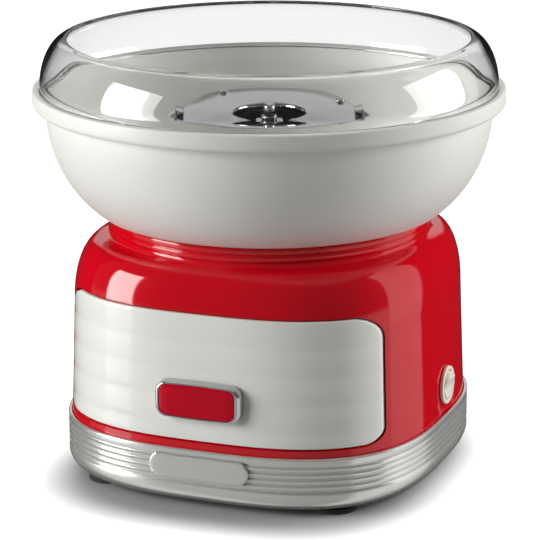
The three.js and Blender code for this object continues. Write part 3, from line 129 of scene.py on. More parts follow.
# %% Shared shader groups
def moulded_group():
    tree, given, out = open_group(
        "moulded_surface", "ShaderNodeTree",
        [("Scale", "Float", 60.0), ("Low", "Float", 0.1), ("High", "Float", 0.2)],
        [("Height", "Float"), ("Roughness", "Float"), ("Shade", "Float")],
    )
    place = put(tree, "ShaderNodeTexCoord").outputs["Object"]
    wave = put(tree, "ShaderNodeTexNoise", {
        "Vector": place, "Scale": given.outputs["Scale"], "Detail": 1.5, "Roughness": 0.4,
    })
    patch = put(tree, "ShaderNodeTexNoise", {"Vector": place, "Scale": 14.0, "Detail": 4.0})
    spread = put(tree, "ShaderNodeMapRange", {
        "Value": patch.outputs[0], "From Min": 0.35, "From Max": 0.7,
        "To Min": given.outputs["Low"], "To Max": given.outputs["High"],
    })
    shade = put(tree, "ShaderNodeMapRange", {
        "Value": patch.outputs[0], "From Min": 0.3, "From Max": 0.7, "To Min": 0.0, "To Max": 1.0,
    })
    tree.links.new(wave.outputs[0], out.inputs["Height"])
    tree.links.new(spread.outputs[0], out.inputs["Roughness"])
    tree.links.new(shade.outputs[0], out.inputs["Shade"])
    return tree


def brushed_group():
    tree, given, out = open_group(
        "brushed_lines", "ShaderNodeTree",
        [("Stretch", "Vector", (1, 1, 1)), ("Low", "Float", 0.2), ("High", "Float", 0.4)],
        [("Lines", "Float"), ("Roughness", "Float")],
    )
    place = put(tree, "ShaderNodeTexCoord").outputs["Object"]
    long = put(tree, "ShaderNodeVectorMath", operation="MULTIPLY")
    tree.links.new(place, long.inputs[0])
    tree.links.new(given.outputs["Stretch"], long.inputs[1])
    lines = put(tree, "ShaderNodeTexNoise", {
        "Vector": long.outputs[0], "Scale": 1.0, "Detail": 5.0, "Roughness": 0.6,
    })
    spread = put(tree, "ShaderNodeMapRange", {
        "Value": lines.outputs[0], "From Min": 0.3, "From Max": 0.7,
        "To Min": given.outputs["Low"], "To Max": given.outputs["High"],
    })
    tree.links.new(lines.outputs[0], out.inputs["Lines"])
    tree.links.new(spread.outputs[0], out.inputs["Roughness"])
    return tree


moulded_surface = moulded_group()
brushed_lines = brushed_group()
print("shader groups:", moulded_surface.name, brushed_lines.name)

# %% [markdown]
# ## Finishes
# Each finish is a Principled shader whose plain numbers sit on its own sockets. The groups feed
# only what changes over the surface: a slightly darker shade of the colour, the roughness and
# a very small relief.

# %% Finish makers
def linear(red, green, blue):
    """Colour as it is seen on screen, 0 to 255, as the shader's linear value."""
    found = []
    for part in (red, green, blue):
        part = part / 255
        found.append(part / 12.92 if part <= 0.04045 else ((part + 0.055) / 1.055) ** 2.4)
    return (*found, 1.0)


def start_finish(name, metallic=0.0, **constants):
    finish = bpy.data.materials.new(name)
    finish.use_nodes = True
    shader = finish.node_tree.nodes["Principled BSDF"]
    shader.inputs["Metallic"].default_value = metallic
    for label, value in constants.items():
        shader.inputs[label.replace("_", " ")].default_value = value
    return finish, finish.node_tree, shader


def blend_colours(tree, factor, first, second):
    made = put(tree, "ShaderNodeMix", data_type="RGBA")
    tree.links.new(factor, made.inputs[0])
    made.inputs[6].default_value = first
    made.inputs[7].default_value = second
    return made.outputs[2]


def patterned(start, pattern, takes, mask, height, colours):
    """Lets a shader group mix two shades and feed the roughness and the relief of a finish."""
    finish, tree, shader = start
    group = put(tree, "ShaderNodeGroup", takes, node_tree=pattern)
    colour, shade, relief = colours
    tint = blend_colours(tree, group.outputs[mask], linear(*colour), linear(*shade))
    tree.links.new(tint, shader.inputs["Base Color"])
    tree.links.new(group.outputs["Roughness"], shader.inputs["Roughness"])
    bump = put(tree, "ShaderNodeBump", {
        "Height": group.outputs[height], "Strength": 0.3, "Distance": relief * MM,
    })
    tree.links.new(bump.outputs[0], shader.inputs["Normal"])
    return finish


def moulded(name, colour, shade, low, high, scale=60.0, relief=0.02, metallic=0.0, **constants):
    """Moulded plastic or rubber. low and high bound its roughness, and relief is in mm."""
    return patterned(start_finish(name, metallic, **constants), moulded_surface,
                     {"Scale": scale, "Low": low, "High": high}, "Shade", "Height",
                     (colour, shade, relief))


def brushed(name, colour, shade, low, high, stretch, relief=0.01, metallic=1.0, **constants):
    """Rolled, drawn or brushed surface. Its lines run along the axes that are stretched least."""
    return patterned(start_finish(name, metallic, **constants), brushed_lines,
                     {"Stretch": stretch, "Low": low, "High": high}, "Lines", "Lines",
                     (colour, shade, relief))


print("mid grey on screen is", round(linear(128, 128, 128)[0], 3), "as a linear value")

# %% Finishes of the outside
ALL_WAYS = (900.0, 900.0, 900.0)
LEVEL_LINES = (25.0, 25.0, 900.0)
UPRIGHT_LINES = (900.0, 900.0, 20.0)
finishes = {
    "red_gloss": moulded("red_gloss", (206, 6, 27), (198, 4, 24), 0.05, 0.09, 45),
    "badge_red": moulded("badge_red", (196, 8, 38), (184, 6, 32), 0.1, 0.16, 120,
                         Specular_IOR_Level=0.15),
    "panel_satin": brushed("panel_satin", (234, 235, 228), (231, 232, 225), 0.36, 0.42,
                           LEVEL_LINES, 0.002, 0.0, Specular_IOR_Level=0.15,
                           Coat_Weight=1.0, Coat_Roughness=0.04),
    "silver_trim": brushed("silver_trim", (222, 222, 217), (214, 214, 209), 0.16, 0.22,
                           LEVEL_LINES, 0.002, 0.62),
    "badge_chrome": brushed("badge_chrome", (204, 205, 206), (196, 197, 198), 0.12, 0.18, ALL_WAYS,
                            0.002, 0.85),
    "bowl_white": moulded("bowl_white", (236, 235, 230), (232, 231, 225), 0.36, 0.42, 50),
    "switch_white": moulded("switch_white", (240, 232, 222), (233, 224, 212), 0.25, 0.35, 150),
    "black_plastic": moulded("black_plastic", (26, 26, 27), (34, 34, 35), 0.4, 0.6, 900, 0.05),
    "foot_rubber": moulded("foot_rubber", (20, 20, 20), (32, 31, 30), 0.7, 0.9, 1500, 0.05),
    "beige_plastic": moulded("beige_plastic", (217, 210, 192), (205, 197, 178), 0.4, 0.55, 400),
    "board_green": moulded("board_green", (40, 104, 68), (32, 88, 58), 0.35, 0.5, 700),
    "insulator_ceramic": moulded("insulator_ceramic", (232, 226, 212), (220, 212, 195),
                                 0.5, 0.7, 900),
    "magnet_ferrite": moulded("magnet_ferrite", (56, 56, 58), (70, 69, 68), 0.55, 0.75, 1200),
    "lead_red": moulded("lead_red", (168, 34, 32), (150, 28, 26), 0.35, 0.5, 700),
    "lead_blue": moulded("lead_blue", (42, 78, 158), (36, 66, 138), 0.35, 0.5, 700),
}
print("finishes so far:", len(finishes))

# %% Finishes of the metal parts
finishes.update({
    "polished_steel": brushed("polished_steel", (186, 187, 186), (178, 179, 178), 0.08, 0.16,
                              ALL_WAYS, 0.003),
    "sheet_steel": brushed("sheet_steel", (176, 177, 178), (156, 156, 156), 0.3, 0.45, ALL_WAYS),
    "screw_steel": brushed("screw_steel", (186, 187, 188), (160, 160, 160), 0.25, 0.4, ALL_WAYS),
    "shaft_steel": brushed("shaft_steel", (198, 199, 200), (180, 180, 180), 0.15, 0.3,
                           UPRIGHT_LINES),
    "wing_steel": brushed("wing_steel", (196, 195, 192), (170, 168, 164), 0.18, 0.3, ALL_WAYS),
    "element_steel": brushed("element_steel", (88, 84, 80), (64, 60, 56), 0.4, 0.6, ALL_WAYS),
    "bush_brass": brushed("bush_brass", (190, 158, 88), (168, 138, 74), 0.25, 0.4, ALL_WAYS),
    "copper_winding": brushed("copper_winding", (182, 106, 62), (140, 76, 44), 0.25, 0.45,
                              (120.0, 120.0, 1500.0)),
})
clear, clear_tree, clear_shader = start_finish(
    "clear_plastic", 0.0, Transmission_Weight=1.0, IOR=1.49, Base_Color=linear(250, 251, 251),
)
haze = put(clear_tree, "ShaderNodeGroup", node_tree=moulded_surface)
haze.inputs["Low"].default_value = 0.0
haze.inputs["High"].default_value = 0.03
clear_tree.links.new(haze.outputs["Roughness"], clear_shader.inputs["Roughness"])
finishes["clear_plastic"] = clear
print("finishes:", len(finishes))

# %% [markdown]
# ## Making meshes
# Most of the machine is round, or square with bowed sides. Such a shape is easiest to describe by
# its outline in height and radius, carried round the upright axis. Corners of the outline are
# eased first, because light catches a rounded edge and that is what makes a piece look real.

# %% Mesh helpers
SHARP = math.radians(38)
WELD = 1e-6
EASE_SHARE = 0.49


def stand(name, mesh, sharp=SHARP):
    """Shades a mesh and puts it in the scene as a piece of that name."""
    mesh.shade_smooth()
    mesh.set_sharp_from_angle(angle=sharp)
    piece = bpy.data.objects.new(name, mesh)
    bpy.context.scene.collection.objects.link(piece)
    return piece


def finish_mesh(name, mesh, sharp=SHARP):
    """Piece from a mesh whose doubled corners are merged and whose faces are turned outwards."""
    work = bmesh.new()
    work.from_mesh(mesh)
    bmesh.ops.remove_doubles(work, verts=work.verts, dist=WELD)
    bmesh.ops.recalc_face_normals(work, faces=work.faces)
    work.to_mesh(mesh)
    work.free()
    return stand(name, mesh, sharp)


def make_piece(name, corners, faces, sharp=SHARP):
    """Piece from corners in millimetres and the faces between them."""
    mesh = bpy.data.meshes.new(name)
    mesh.from_pydata([[c * MM for c in corner] for corner in corners], [], faces)
    return finish_mesh(name, mesh, sharp)


def settle(piece, finish, body, *nodes):
    """Gives a piece its finish, its body and the CAD nodes that it stands for."""
    piece.data.materials.clear()
    piece.data.materials.append(finishes[finish])
    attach(piece, body)
    if nodes:
        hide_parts(*nodes)
    print(f"{piece.name}: {len(piece.data.polygons)} faces on {body}")


print("edges are drawn sharp from", round(math.degrees(SHARP)), "degrees")

# %% Outlines with eased corners
def eased(points, steps=4):
    """Outline of (radius, height) or (radius, height, rounding), with its corners rounded."""
    made = []
    count = len(points)
    on_axis = points[0][0] == 0 and points[-1][0] == 0
    for i, point in enumerate(points):
        rounding = point[2] if len(point) > 2 else 0
        here = np.array(point[:2], float)
        if rounding == 0 or (on_axis and i in (0, count - 1)):
            made.append(tuple(here))
            continue
        before = np.array(points[i - 1][:2], float)
        after = np.array(points[(i + 1) % count][:2], float)
        back, ahead = np.linalg.norm(before - here), np.linalg.norm(after - here)
        reach = min(rounding, EASE_SHARE * back, EASE_SHARE * ahead)
        start = here + (before - here) / back * reach
        end = here + (after - here) / ahead * reach
        for k in range(steps + 1):
            t = k / steps
            made.append(tuple((1 - t) ** 2 * start + 2 * t * (1 - t) * here + t ** 2 * end))
    return made


def pin(radius, low, high):
    """Outline of a plain pin, or of the hole for one."""
    return [(0, low), (radius, low), (radius, high), (0, high)]


print("one eased corner has", len(eased([(8, 0), (9, 0, 0.5), (9, 1)])) - 2, "points")

# %% Outlines carried round the axis
def round_plan(angle):
    """The plan of a turned piece: every direction reaches as far."""
    return 1.0


def carried(rows_at, steps):
    """Corners and faces of an outline carried round the axis. rows_at(angle) gives it there."""
    rings = [rows_at(2 * math.pi * i / steps) for i in range(steps)]
    count = len(rings[0])
    centre = [r == 0 for r, _ in rings[0]]
    corners, faces = [], []
    for i, ring in enumerate(rings):
        angle = 2 * math.pi * i / steps
        corners += [(r * math.cos(angle), r * math.sin(angle), z) for r, z in ring]
    for i in range(steps):
        a, b = i * count, (i + 1) % steps * count
        for k in range(count - 1 if centre[0] and centre[-1] else count):
            n = (k + 1) % count
            face = [a + k, b + k, b + n, a + n]
            if centre[k]:
                face = [a + k, b + n, a + n]
            elif centre[n]:
                face = [a + k, b + k, a + n]
            faces.append(face)
    return corners, faces


def turned(name, points, steps=160, plan=round_plan, easing=4):
    """Piece turned about the machine's own axis, round or to another plan."""
    outline = eased(points, easing)
    corners, faces = carried(lambda angle: [(r * plan(angle), z) for r, z in outline], steps)
    return make_piece(name, corners, faces)


def turned_at(name, outline, place, steps):
    """Outline carried round an upright axis. place(x, y, z) then moves each corner."""
    corners, faces = carried(lambda angle: outline, steps)
    return make_piece(name, [place(*corner) for corner in corners], faces)


pin_faces = carried(lambda angle: pin(1, 0, 1), 48)[1]
print("a plain pin carried round in 48 steps has", len(pin_faces), "faces")

# %% [markdown]
# ## The housing
# The red housing is one glossy moulding. In plan it is a square with bowed sides, which
# a superellipse gives with one number. Its walls lean in a little, turn over in a soft shoulder
# and meet a round collar. The square shoulder has to run into the round collar, so the outline is
# worked out for each direction on its own, and its points are spread evenly along the way.

# %% Sizes of the housing
SQUARENESS = 2.88
FOOT_HALF = 119.3
WAIST_HALF = 116.6
TAPER_START = 40
SHOULDER_START = 113
DECK_TOP = 151.3
SHOULDER_INSET = 15.1
SHELL_BOTTOM = 11.5
SHELL_WALL = 3.4
COLLAR_TOP = 164.9
COLLAR_R = 103.8
NECK_R = 101.8
COLLAR_INNER_R = 99.4
FILLET_R = 107.0
DECK_HOLE_R = 50
FIT = 0.3
print("housing:", 2 * FOOT_HALF, "mm wide at its foot and", 2 * WAIST_HALF, "mm at its shoulder")
print("space between neighbouring pieces:", FIT, "mm")


# %% Rules of the housing's shape
def square_plan(angle):
    c, s = abs(math.cos(angle)), abs(math.sin(angle))
    return (c ** SQUARENESS + s ** SQUARENESS) ** (-1 / SQUARENESS)


def shell_half(z):
    if z <= TAPER_START:
        return FOOT_HALF
    if z <= SHOULDER_START:
        share = (z - TAPER_START) / (SHOULDER_START - TAPER_START)
        return FOOT_HALF + (WAIST_HALF - FOOT_HALF) * share
    share = min(1, (z - SHOULDER_START) / (DECK_TOP - SHOULDER_START))
    return WAIST_HALF - SHOULDER_INSET * (1 - math.sqrt(1 - share * share))


def front_y(x, half):
    """Depth of the squared wall of that half width, at x across the front."""
    return -max(0.0, half ** SQUARENESS - abs(x) ** SQUARENESS) ** (1 / SQUARENESS)


def spread(points, count):
    """The same path as count points at even distances."""
    path = np.array(points, float)
    run = np.concatenate([[0], np.cumsum(np.linalg.norm(np.diff(path, axis=0), axis=1))])
    at = np.linspace(0, run[-1], count)
    return list(zip(np.interp(at, run, path[:, 0]), np.interp(at, run, path[:, 1])))


def bezier(a, b, c, d, steps):
    """Points of a smooth curve from a to d that b and c pull on, without a itself."""
    a, b, c, d = (np.array(p, float) for p in (a, b, c, d))
    made = []
    for k in range(1, steps + 1):
        t = k / steps
        s = 1 - t
        made.append(tuple(s ** 3 * a + 3 * t * s ** 2 * b + 3 * t * t * s * c + t ** 3 * d))
    return made


print("the shoulder is", round(shell_half(DECK_TOP), 1), "mm from the middle at its top")

# %% Outline of the housing in one direction
HOUSING_STEPS = 288
TAPER_ROWS = 14
SHOULDER_ROWS = 44
SHOULDER_STEPS = 60
INNER_STEPS = 8
FILLET_STEPS = 6
FILLET_LEAVE = 3.0
FILLET_ARRIVE = 2.4
NECK_LOW = 154.6
BEAD_LOW = 156.2
BEAD_HIGH = 158.6
BEAD_RISE = 0.9
NECK_HIGH = 159.6
COLLAR_LOW = 160.6
WALL_HEIGHTS = [SHELL_BOTTOM, 16, 22, 28, 34, TAPER_START] + [
    TAPER_START + (SHOULDER_START - TAPER_START) * k / TAPER_ROWS for k in range(1, TAPER_ROWS)
]
COLLAR_SIDE = eased([
    (NECK_R, NECK_LOW), (NECK_R + BEAD_RISE, BEAD_LOW, 1), (NECK_R + BEAD_RISE, BEAD_HIGH, 0.8),
    (NECK_R, NECK_HIGH, 0.7), (COLLAR_R, COLLAR_LOW, 0.8), (COLLAR_R, COLLAR_TOP, 2.2),
    (COLLAR_INNER_R, COLLAR_TOP, 0.8), (COLLAR_INNER_R, DECK_TOP, 0.8),
    (DECK_HOLE_R, DECK_TOP, 0.6), (DECK_HOLE_R, DECK_TOP - SHELL_WALL),
    (DECK_HOLE_R + 1, DECK_TOP - SHELL_WALL),
], 5)


def shoulder_point(turn, wall=0.0):
    """Half width and height on the shoulder's curve, or on the curve inside the wall."""
    rise = DECK_TOP - wall - SHOULDER_START
    half = WAIST_HALF - wall - SHOULDER_INSET * (1 - math.cos(turn))
    return half, SHOULDER_START + rise * math.sin(turn)


def housing_rows(angle):
    """Closed outline of the wall: up the outside, over the shoulder and the collar, and back."""
    plan = square_plan(angle)
    rows = [(shell_half(z) * plan, z) for z in WALL_HEIGHTS]
    inset = (WAIST_HALF - FILLET_R / plan) / SHOULDER_INSET
    end = math.acos(max(0.0, 1 - inset)) if inset < 1 else math.pi / 2
    curve = [shoulder_point(end * k / SHOULDER_STEPS) for k in range(SHOULDER_STEPS + 1)]
    path = [(half * plan, z) for half, z in curve]
    if path[-1][0] > FILLET_R + 0.01:
        path.append((FILLET_R, DECK_TOP))
    rows += spread(path, SHOULDER_ROWS)
    start, foot = np.array(rows[-1]), COLLAR_SIDE[0]
    slope = start - np.array(rows[-2])
    leave = start + slope / np.linalg.norm(slope) * FILLET_LEAVE
    rows += bezier(start, leave, (foot[0], foot[1] - FILLET_ARRIVE), foot, FILLET_STEPS)
    rows += COLLAR_SIDE[1:]
    for k in range(INNER_STEPS, -1, -1):
        half, z = shoulder_point(math.pi / 2 * k / INNER_STEPS, SHELL_WALL)
        rows.append((half * plan, z))
    inner = FOOT_HALF - SHELL_WALL
    return rows + [(inner * plan, TAPER_START), (inner * plan, SHELL_BOTTOM)]


housing = make_piece("housing", *carried(housing_rows, HOUSING_STEPS))
print("housing before its recesses:", len(housing.data.polygons), "faces")

# %% [markdown]
# ## Flat outlines laid on the bowed front
# The panel, its recess and the nameplate are flat outlines that lie on the bowed front. Each is
# drawn as rings of points set in from its edge, filled with evenly spaced points, and joined by
# a Delaunay triangulation. Every point is then moved to the wall's own depth at its place.

# %% Outlines of bars and plates
def bar_outline(half_w, low, high, corner, bow=0.0, end_bow=0.0, side_steps=24, corner_steps=8,
                top_corner=None):
    """Rectangle with round corners whose long and short sides may bow out, as (x, z) points."""
    top = top_corner or corner
    centres = [(half_w - corner, low + corner, -90, corner), (half_w - top, high - top, 0, top),
               (top - half_w, high - top, 90, top), (corner - half_w, low + corner, 180, corner)]
    middle = (low + high) / 2
    points = []
    for i, (cx, cz, first, size) in enumerate(centres):
        for k in range(corner_steps + 1):
            a = math.radians(first + 90 * k / corner_steps)
            points.append((cx + size * math.cos(a), cz + size * math.sin(a)))
        nx, nz, after, size = centres[(i + 1) % 4]
        a = math.radians(after)
        end = (nx + size * math.cos(a), nz + size * math.sin(a))
        start = points[-1]
        for k in range(1, side_steps):
            t = k / side_steps
            points.append(tuple(start[j] + (end[j] - start[j]) * t for j in (0, 1)))
    reach_w, reach_h = half_w, (high - low) / 2
    bowed = []
    for x, z in points:
        up = (z - middle) / reach_h
        across = x / reach_w
        bowed.append((x + end_bow * across * (1 - up * up), z + bow * up * (1 - across * across)))
    return bowed


print("a bar's outline has", len(bar_outline(10, 0, 10, 2)), "points")

# %% Patches and plates
FILL_MARGIN = 0.6
SAME_POINT = 1e-7


def patch(outline_at, insets, spacing):
    """Triangles over an outline: points, how far each is set in, faces, and each point's origin."""
    points, depth, edges = [], [], []
    for inset in insets:
        ring = outline_at(inset)
        start = len(points)
        points += ring
        depth += [inset] * len(ring)
        edges += [(start + i, start + (i + 1) % len(ring)) for i in range(len(ring))]
    last = [Vector(p) for p in outline_at(insets[-1] + FILL_MARGIN * spacing)]
    low = [min(p[i] for p in last) for i in (0, 1)]
    high = [max(p[i] for p in last) for i in (0, 1)]
    for i in range(int((high[0] - low[0]) / spacing) + 1):
        for k in range(int((high[1] - low[1]) / spacing) + 1):
            spot = (low[0] + (i + 0.5) * spacing, low[1] + (k + 0.5) * spacing)
            if inside(spot, last):
                points.append(spot)
                depth.append(insets[-1])
    made = delaunay_2d_cdt([Vector(p) for p in points], edges, [], 1, SAME_POINT)
    origin = [came[0] for came in made[3]]
    flat, faces = [tuple(p) for p in made[0]], [tuple(f) for f in made[2]]
    return flat, [depth[i] for i in origin], faces, origin


def inside(spot, ring):
    """Whether a spot lies inside a closed ring of points."""
    hit = False
    for a, b in zip(ring, ring[1:] + ring[:1]):
        if (a[1] > spot[1]) != (b[1] > spot[1]):
            if spot[0] < (b[0] - a[0]) * (spot[1] - a[1]) / (b[1] - a[1]) + a[0]:
                hit = not hit
    return hit


def slab(outline_at, insets, spacing, front, back, edge_count):
    """Closed plate. front(x, z, inset) and back(x, z) give the depth of its two faces."""
    flat, depth, faces, origin = patch(outline_at, insets, spacing)
    count = len(flat)
    corners = [(x, front(x, z, d), z) for (x, z), d in zip(flat, depth)]
    corners += [(x, back(x, z), z) for x, z in flat]
    rim = {came: i for i, came in enumerate(origin) if came < edge_count}
    sides = []
    for i in range(edge_count):
        a, b = rim[i], rim[(i + 1) % edge_count]
        sides.append((a, b, b + count, a + count))
    return corners, faces + [tuple(i + count for i in reversed(f)) for f in faces] + sides


def edge_drop(inset, ease):
    """How far a plate's face falls back at a point that is set in from its rounded edge."""
    share = max(0.0, 1 - inset / ease)
    return ease * (1 - math.sqrt(max(0.0, 1 - share * share)))


print("halfway into a 1 mm round edge, a face falls back", round(edge_drop(0.5, 1), 2), "mm")

# %% [markdown]
# ## The fluted panel and its recess
# The pale panel is a thin trim plate with four and a half wide flutes, counted down from its upper
# edge. It is let into the housing with a narrow gap that reads as a dark line. The flutes follow
# a rule, so a Geometry Nodes tree makes them: it takes the flat patch and moves each point to the
# bowed wall plus the height of its flute.

# %% Sizes of the panel
PANEL_HALF = 105.2
PANEL_LOW = 44.6
PANEL_HIGH = 124.4
PANEL_CORNER_LOW = 8.5
PANEL_CORNER_HIGH = 14
PANEL_THICK = 1.4
PANEL_GAP = 1.1
FLUTES = 4.5
FLUTE_SWELL = 0.42
FLUTE_ROOM = 0.45
PANEL_BACK = PANEL_THICK + FLUTE_ROOM
RECESS_DEPTH = PANEL_BACK + FIT
EDGE_EASE = 0.7
EDGE_ROWS = [0, 0.08, 0.2, 0.4, EDGE_EASE]
PANEL_SPACING = 1.7


def panel_outline(inset):
    """Outline of the panel, narrowing towards the top with the housing."""
    outline = bar_outline(
        PANEL_HALF - inset, PANEL_LOW + inset, PANEL_HIGH - inset, PANEL_CORNER_LOW - inset,
        side_steps=30, top_corner=PANEL_CORNER_HIGH - inset,
    )
    return [(x * shell_half(z) / FOOT_HALF, z) for x, z in outline]


def flute(z):
    """How far the panel's face stands out from the wall at a height."""
    phase = (PANEL_HIGH - z) / (PANEL_HIGH - PANEL_LOW) * FLUTES % 1.0
    return (4 * phase * (1 - phase) - 0.5) * FLUTE_SWELL


panel_rim = len(panel_outline(0))
print("one flute is", round((PANEL_HIGH - PANEL_LOW) / FLUTES, 1), "mm high")

# %% Booleans that cut and add
def combine(piece, other, operation):
    """Cuts the other piece from this one or adds it, and removes the other piece."""
    change = piece.modifiers.new("combine", "BOOLEAN")
    change.object = other
    change.operation = operation
    change.solver = "MANIFOLD"
    piece.data = bpy.data.meshes.new_from_object(
        piece.evaluated_get(bpy.context.evaluated_depsgraph_get()))
    piece.modifiers.clear()
    bpy.data.objects.remove(other)


def cut(piece, cutter):
    combine(piece, cutter, "DIFFERENCE")
    piece.data.shade_smooth()
    piece.data.set_sharp_from_angle(angle=SHARP)


print("ready to cut and add")

# %% Cut the recess
MOUTH_FLARE = 0.5
MOUTH_LOW = -0.45
MOUTH_HIGH = 0.3
CUTTER_REACH = 4
CUTTER_SPACING = 4


def recess_cutter():
    """Closed cutter with a flared mouth: a bowed floor, the mouth's two rings and a bowed lid."""
    gap, mouth = -PANEL_GAP, -PANEL_GAP - MOUTH_FLARE
    (inner, _, inner_faces, origin), (outer, _, outer_faces, far_origin) = (
        patch(lambda d: panel_outline(first + d), [0], CUTTER_SPACING) for first in (gap, mouth))
    corners = [(x, front_y(x, shell_half(z) - RECESS_DEPTH), z) for x, z in inner]
    faces = list(inner_faces)
    start = len(corners)
    for inset, out in ((gap, MOUTH_LOW), (mouth, MOUTH_HIGH)):
        corners += [(x, front_y(x, shell_half(z) + out), z) for x, z in panel_outline(inset)]
    top = len(corners)
    corners += [(x, front_y(x, shell_half(z) + CUTTER_REACH), z) for x, z in outer]
    faces += [tuple(i + top for i in reversed(f)) for f in outer_faces]
    near = {came: i for i, came in enumerate(origin) if came < panel_rim}
    far = {came: i + top for i, came in enumerate(far_origin) if came < panel_rim}
    for i in range(panel_rim):
        n = (i + 1) % panel_rim
        steps = [(near[i], near[n])]
        steps += [(start + k * panel_rim + i, start + k * panel_rim + n) for k in range(2)]
        steps += [(far[i], far[n])]
        faces += [(a[0], a[1], b[1], b[0]) for a, b in zip(steps, steps[1:])]
    return make_piece("recess_cutter", corners, faces)


cut(housing, recess_cutter())
print("housing with its recess:", len(housing.data.polygons), "faces")

# %% Geometry Nodes tree of the flutes
def flute_tree():
    tree, given, out = open_group(
        "fluted_front", "GeometryNodeTree",
        [("Geometry", "Geometry", None), ("Squareness", "Float", 3.0), ("Foot Half", "Float", 0.1),
         ("Waist Half", "Float", 0.1), ("Taper Start", "Float", 0.0), ("Taper End", "Float", 0.1),
         ("Low", "Float", 0.0), ("High", "Float", 0.1), ("Flutes", "Float", 4.5),
         ("Rise", "Float", 0.001), ("Finish", "Material", None)],
        [("Geometry", "Geometry")],
    )
    take = given.outputs
    spot = put(tree, "GeometryNodeInputPosition").outputs[0]
    x, drop, z = put(tree, "ShaderNodeSeparateXYZ", {0: spot}).outputs
    taper = put(tree, "ShaderNodeMapRange", {
        "Value": z, "From Min": take["Taper Start"], "From Max": take["Taper End"],
        "To Min": take["Foot Half"], "To Max": take["Waist Half"],
    }, clamp=True).outputs[0]
    along = calc(tree, "DIVIDE", calc(tree, "SUBTRACT", take["High"], z),
                 calc(tree, "SUBTRACT", take["High"], take["Low"]))
    phase = calc(tree, "FRACT", calc(tree, "MULTIPLY", along, take["Flutes"]))
    left_over = calc(tree, "SUBTRACT", 1.0, phase)
    swell = calc(tree, "MULTIPLY", calc(tree, "MULTIPLY", phase, 4.0), left_over)
    bulge = calc(tree, "MULTIPLY", calc(tree, "SUBTRACT", swell, 0.5), take["Rise"])
    half = calc(tree, "ADD", calc(tree, "ADD", taper, bulge), drop)
    far = calc(tree, "POWER", half, take["Squareness"])
    side = calc(tree, "POWER", calc(tree, "ABSOLUTE", x), take["Squareness"])
    room = calc(tree, "MAXIMUM", calc(tree, "SUBTRACT", far, side), 0.0)
    depth = calc(tree, "POWER", room, calc(tree, "DIVIDE", 1.0, take["Squareness"]))
    place = put(tree, "ShaderNodeCombineXYZ", {0: x, 1: calc(tree, "MULTIPLY", depth, -1.0), 2: z})
    moved = put(tree, "GeometryNodeSetPosition", {
        "Geometry": take["Geometry"], "Position": place.outputs[0],
    })
    real = put(tree, "GeometryNodeRealizeInstances", {"Geometry": moved.outputs[0]})
    done = put(tree, "GeometryNodeSetMaterial", {
        "Geometry": real.outputs[0], "Material": take["Finish"],
    })
    tree.links.new(done.outputs[0], out.inputs["Geometry"])
    return tree


def run_tree(piece, tree, values, name):
    """Runs the tree on a piece and gives a new plain piece; the old one is removed."""
    change = piece.modifiers.new("nodes", "NODES")
    change.node_group = tree
    known = {item.name: item.identifier for item in tree.interface.items_tree
             if item.item_type == "SOCKET" and item.in_out == "INPUT"}
    for label, value in values.items():
        change[known[label]] = value
    mesh = bpy.data.meshes.new_from_object(
        piece.evaluated_get(bpy.context.evaluated_depsgraph_get()))
    bpy.data.objects.remove(piece)
    return finish_mesh(name, mesh)


fluted_front = flute_tree()
print("the tree of the flutes has", len(fluted_front.nodes), "nodes")

# %% Make the panel
flat_panel = make_piece("flat_panel", *slab(
    panel_outline, EDGE_ROWS, PANEL_SPACING,
    lambda x, z, inset: -edge_drop(inset, EDGE_EASE),
    lambda x, z: -PANEL_BACK, panel_rim,
))
panel = run_tree(flat_panel, fluted_front, {
    "Squareness": SQUARENESS, "Foot Half": FOOT_HALF * MM, "Waist Half": WAIST_HALF * MM,
    "Taper Start": TAPER_START * MM, "Taper End": SHOULDER_START * MM, "Low": PANEL_LOW * MM,
    "High": PANEL_HIGH * MM, "Flutes": FLUTES, "Rise": FLUTE_SWELL * MM,
    "Finish": finishes["panel_satin"],
}, "fluted_panel")
settle(panel, "panel_satin", "body", "front_panel")

# %% [markdown]
# ## The rocker switch
# A round white switch sits in a shallow dish on the right side. Its barrel goes through the wall,
# its rim covers the hole, and the ball-sided rocker tips in it. These pieces are turned about
# an upright axis and then laid over, so that their axis points out of the wall.

# %% Dish, rim and barrel of the switch
SWITCH_Y = 6
SWITCH_Z = 56.5
DISH_R = 19
DISH_DEPTH = 1.6
BEZEL_R = 12.5
BEZEL_RISE = 2.2
BARREL_R = 10.9
BARREL_BORE = 9.8
BARREL_LENGTH = 17
BARREL_FLOOR = 1.5
DISH_STEPS = 16
DISH_OVERRUN = 1.15
SWITCH_STEPS = 96
switch_face = shell_half(SWITCH_Z)
bezel_back = switch_face - DISH_DEPTH * (1 - (BEZEL_R / DISH_R) ** 2) + FIT
bezel_front = bezel_back + BEZEL_RISE
switch_back = bezel_back - BARREL_LENGTH
barrel_floor = switch_back + BARREL_FLOOR


def lay_over(x, y, z):
    """From an upright axis to the switch's axis, which points to +X."""
    return z, y + SWITCH_Y, SWITCH_Z - x


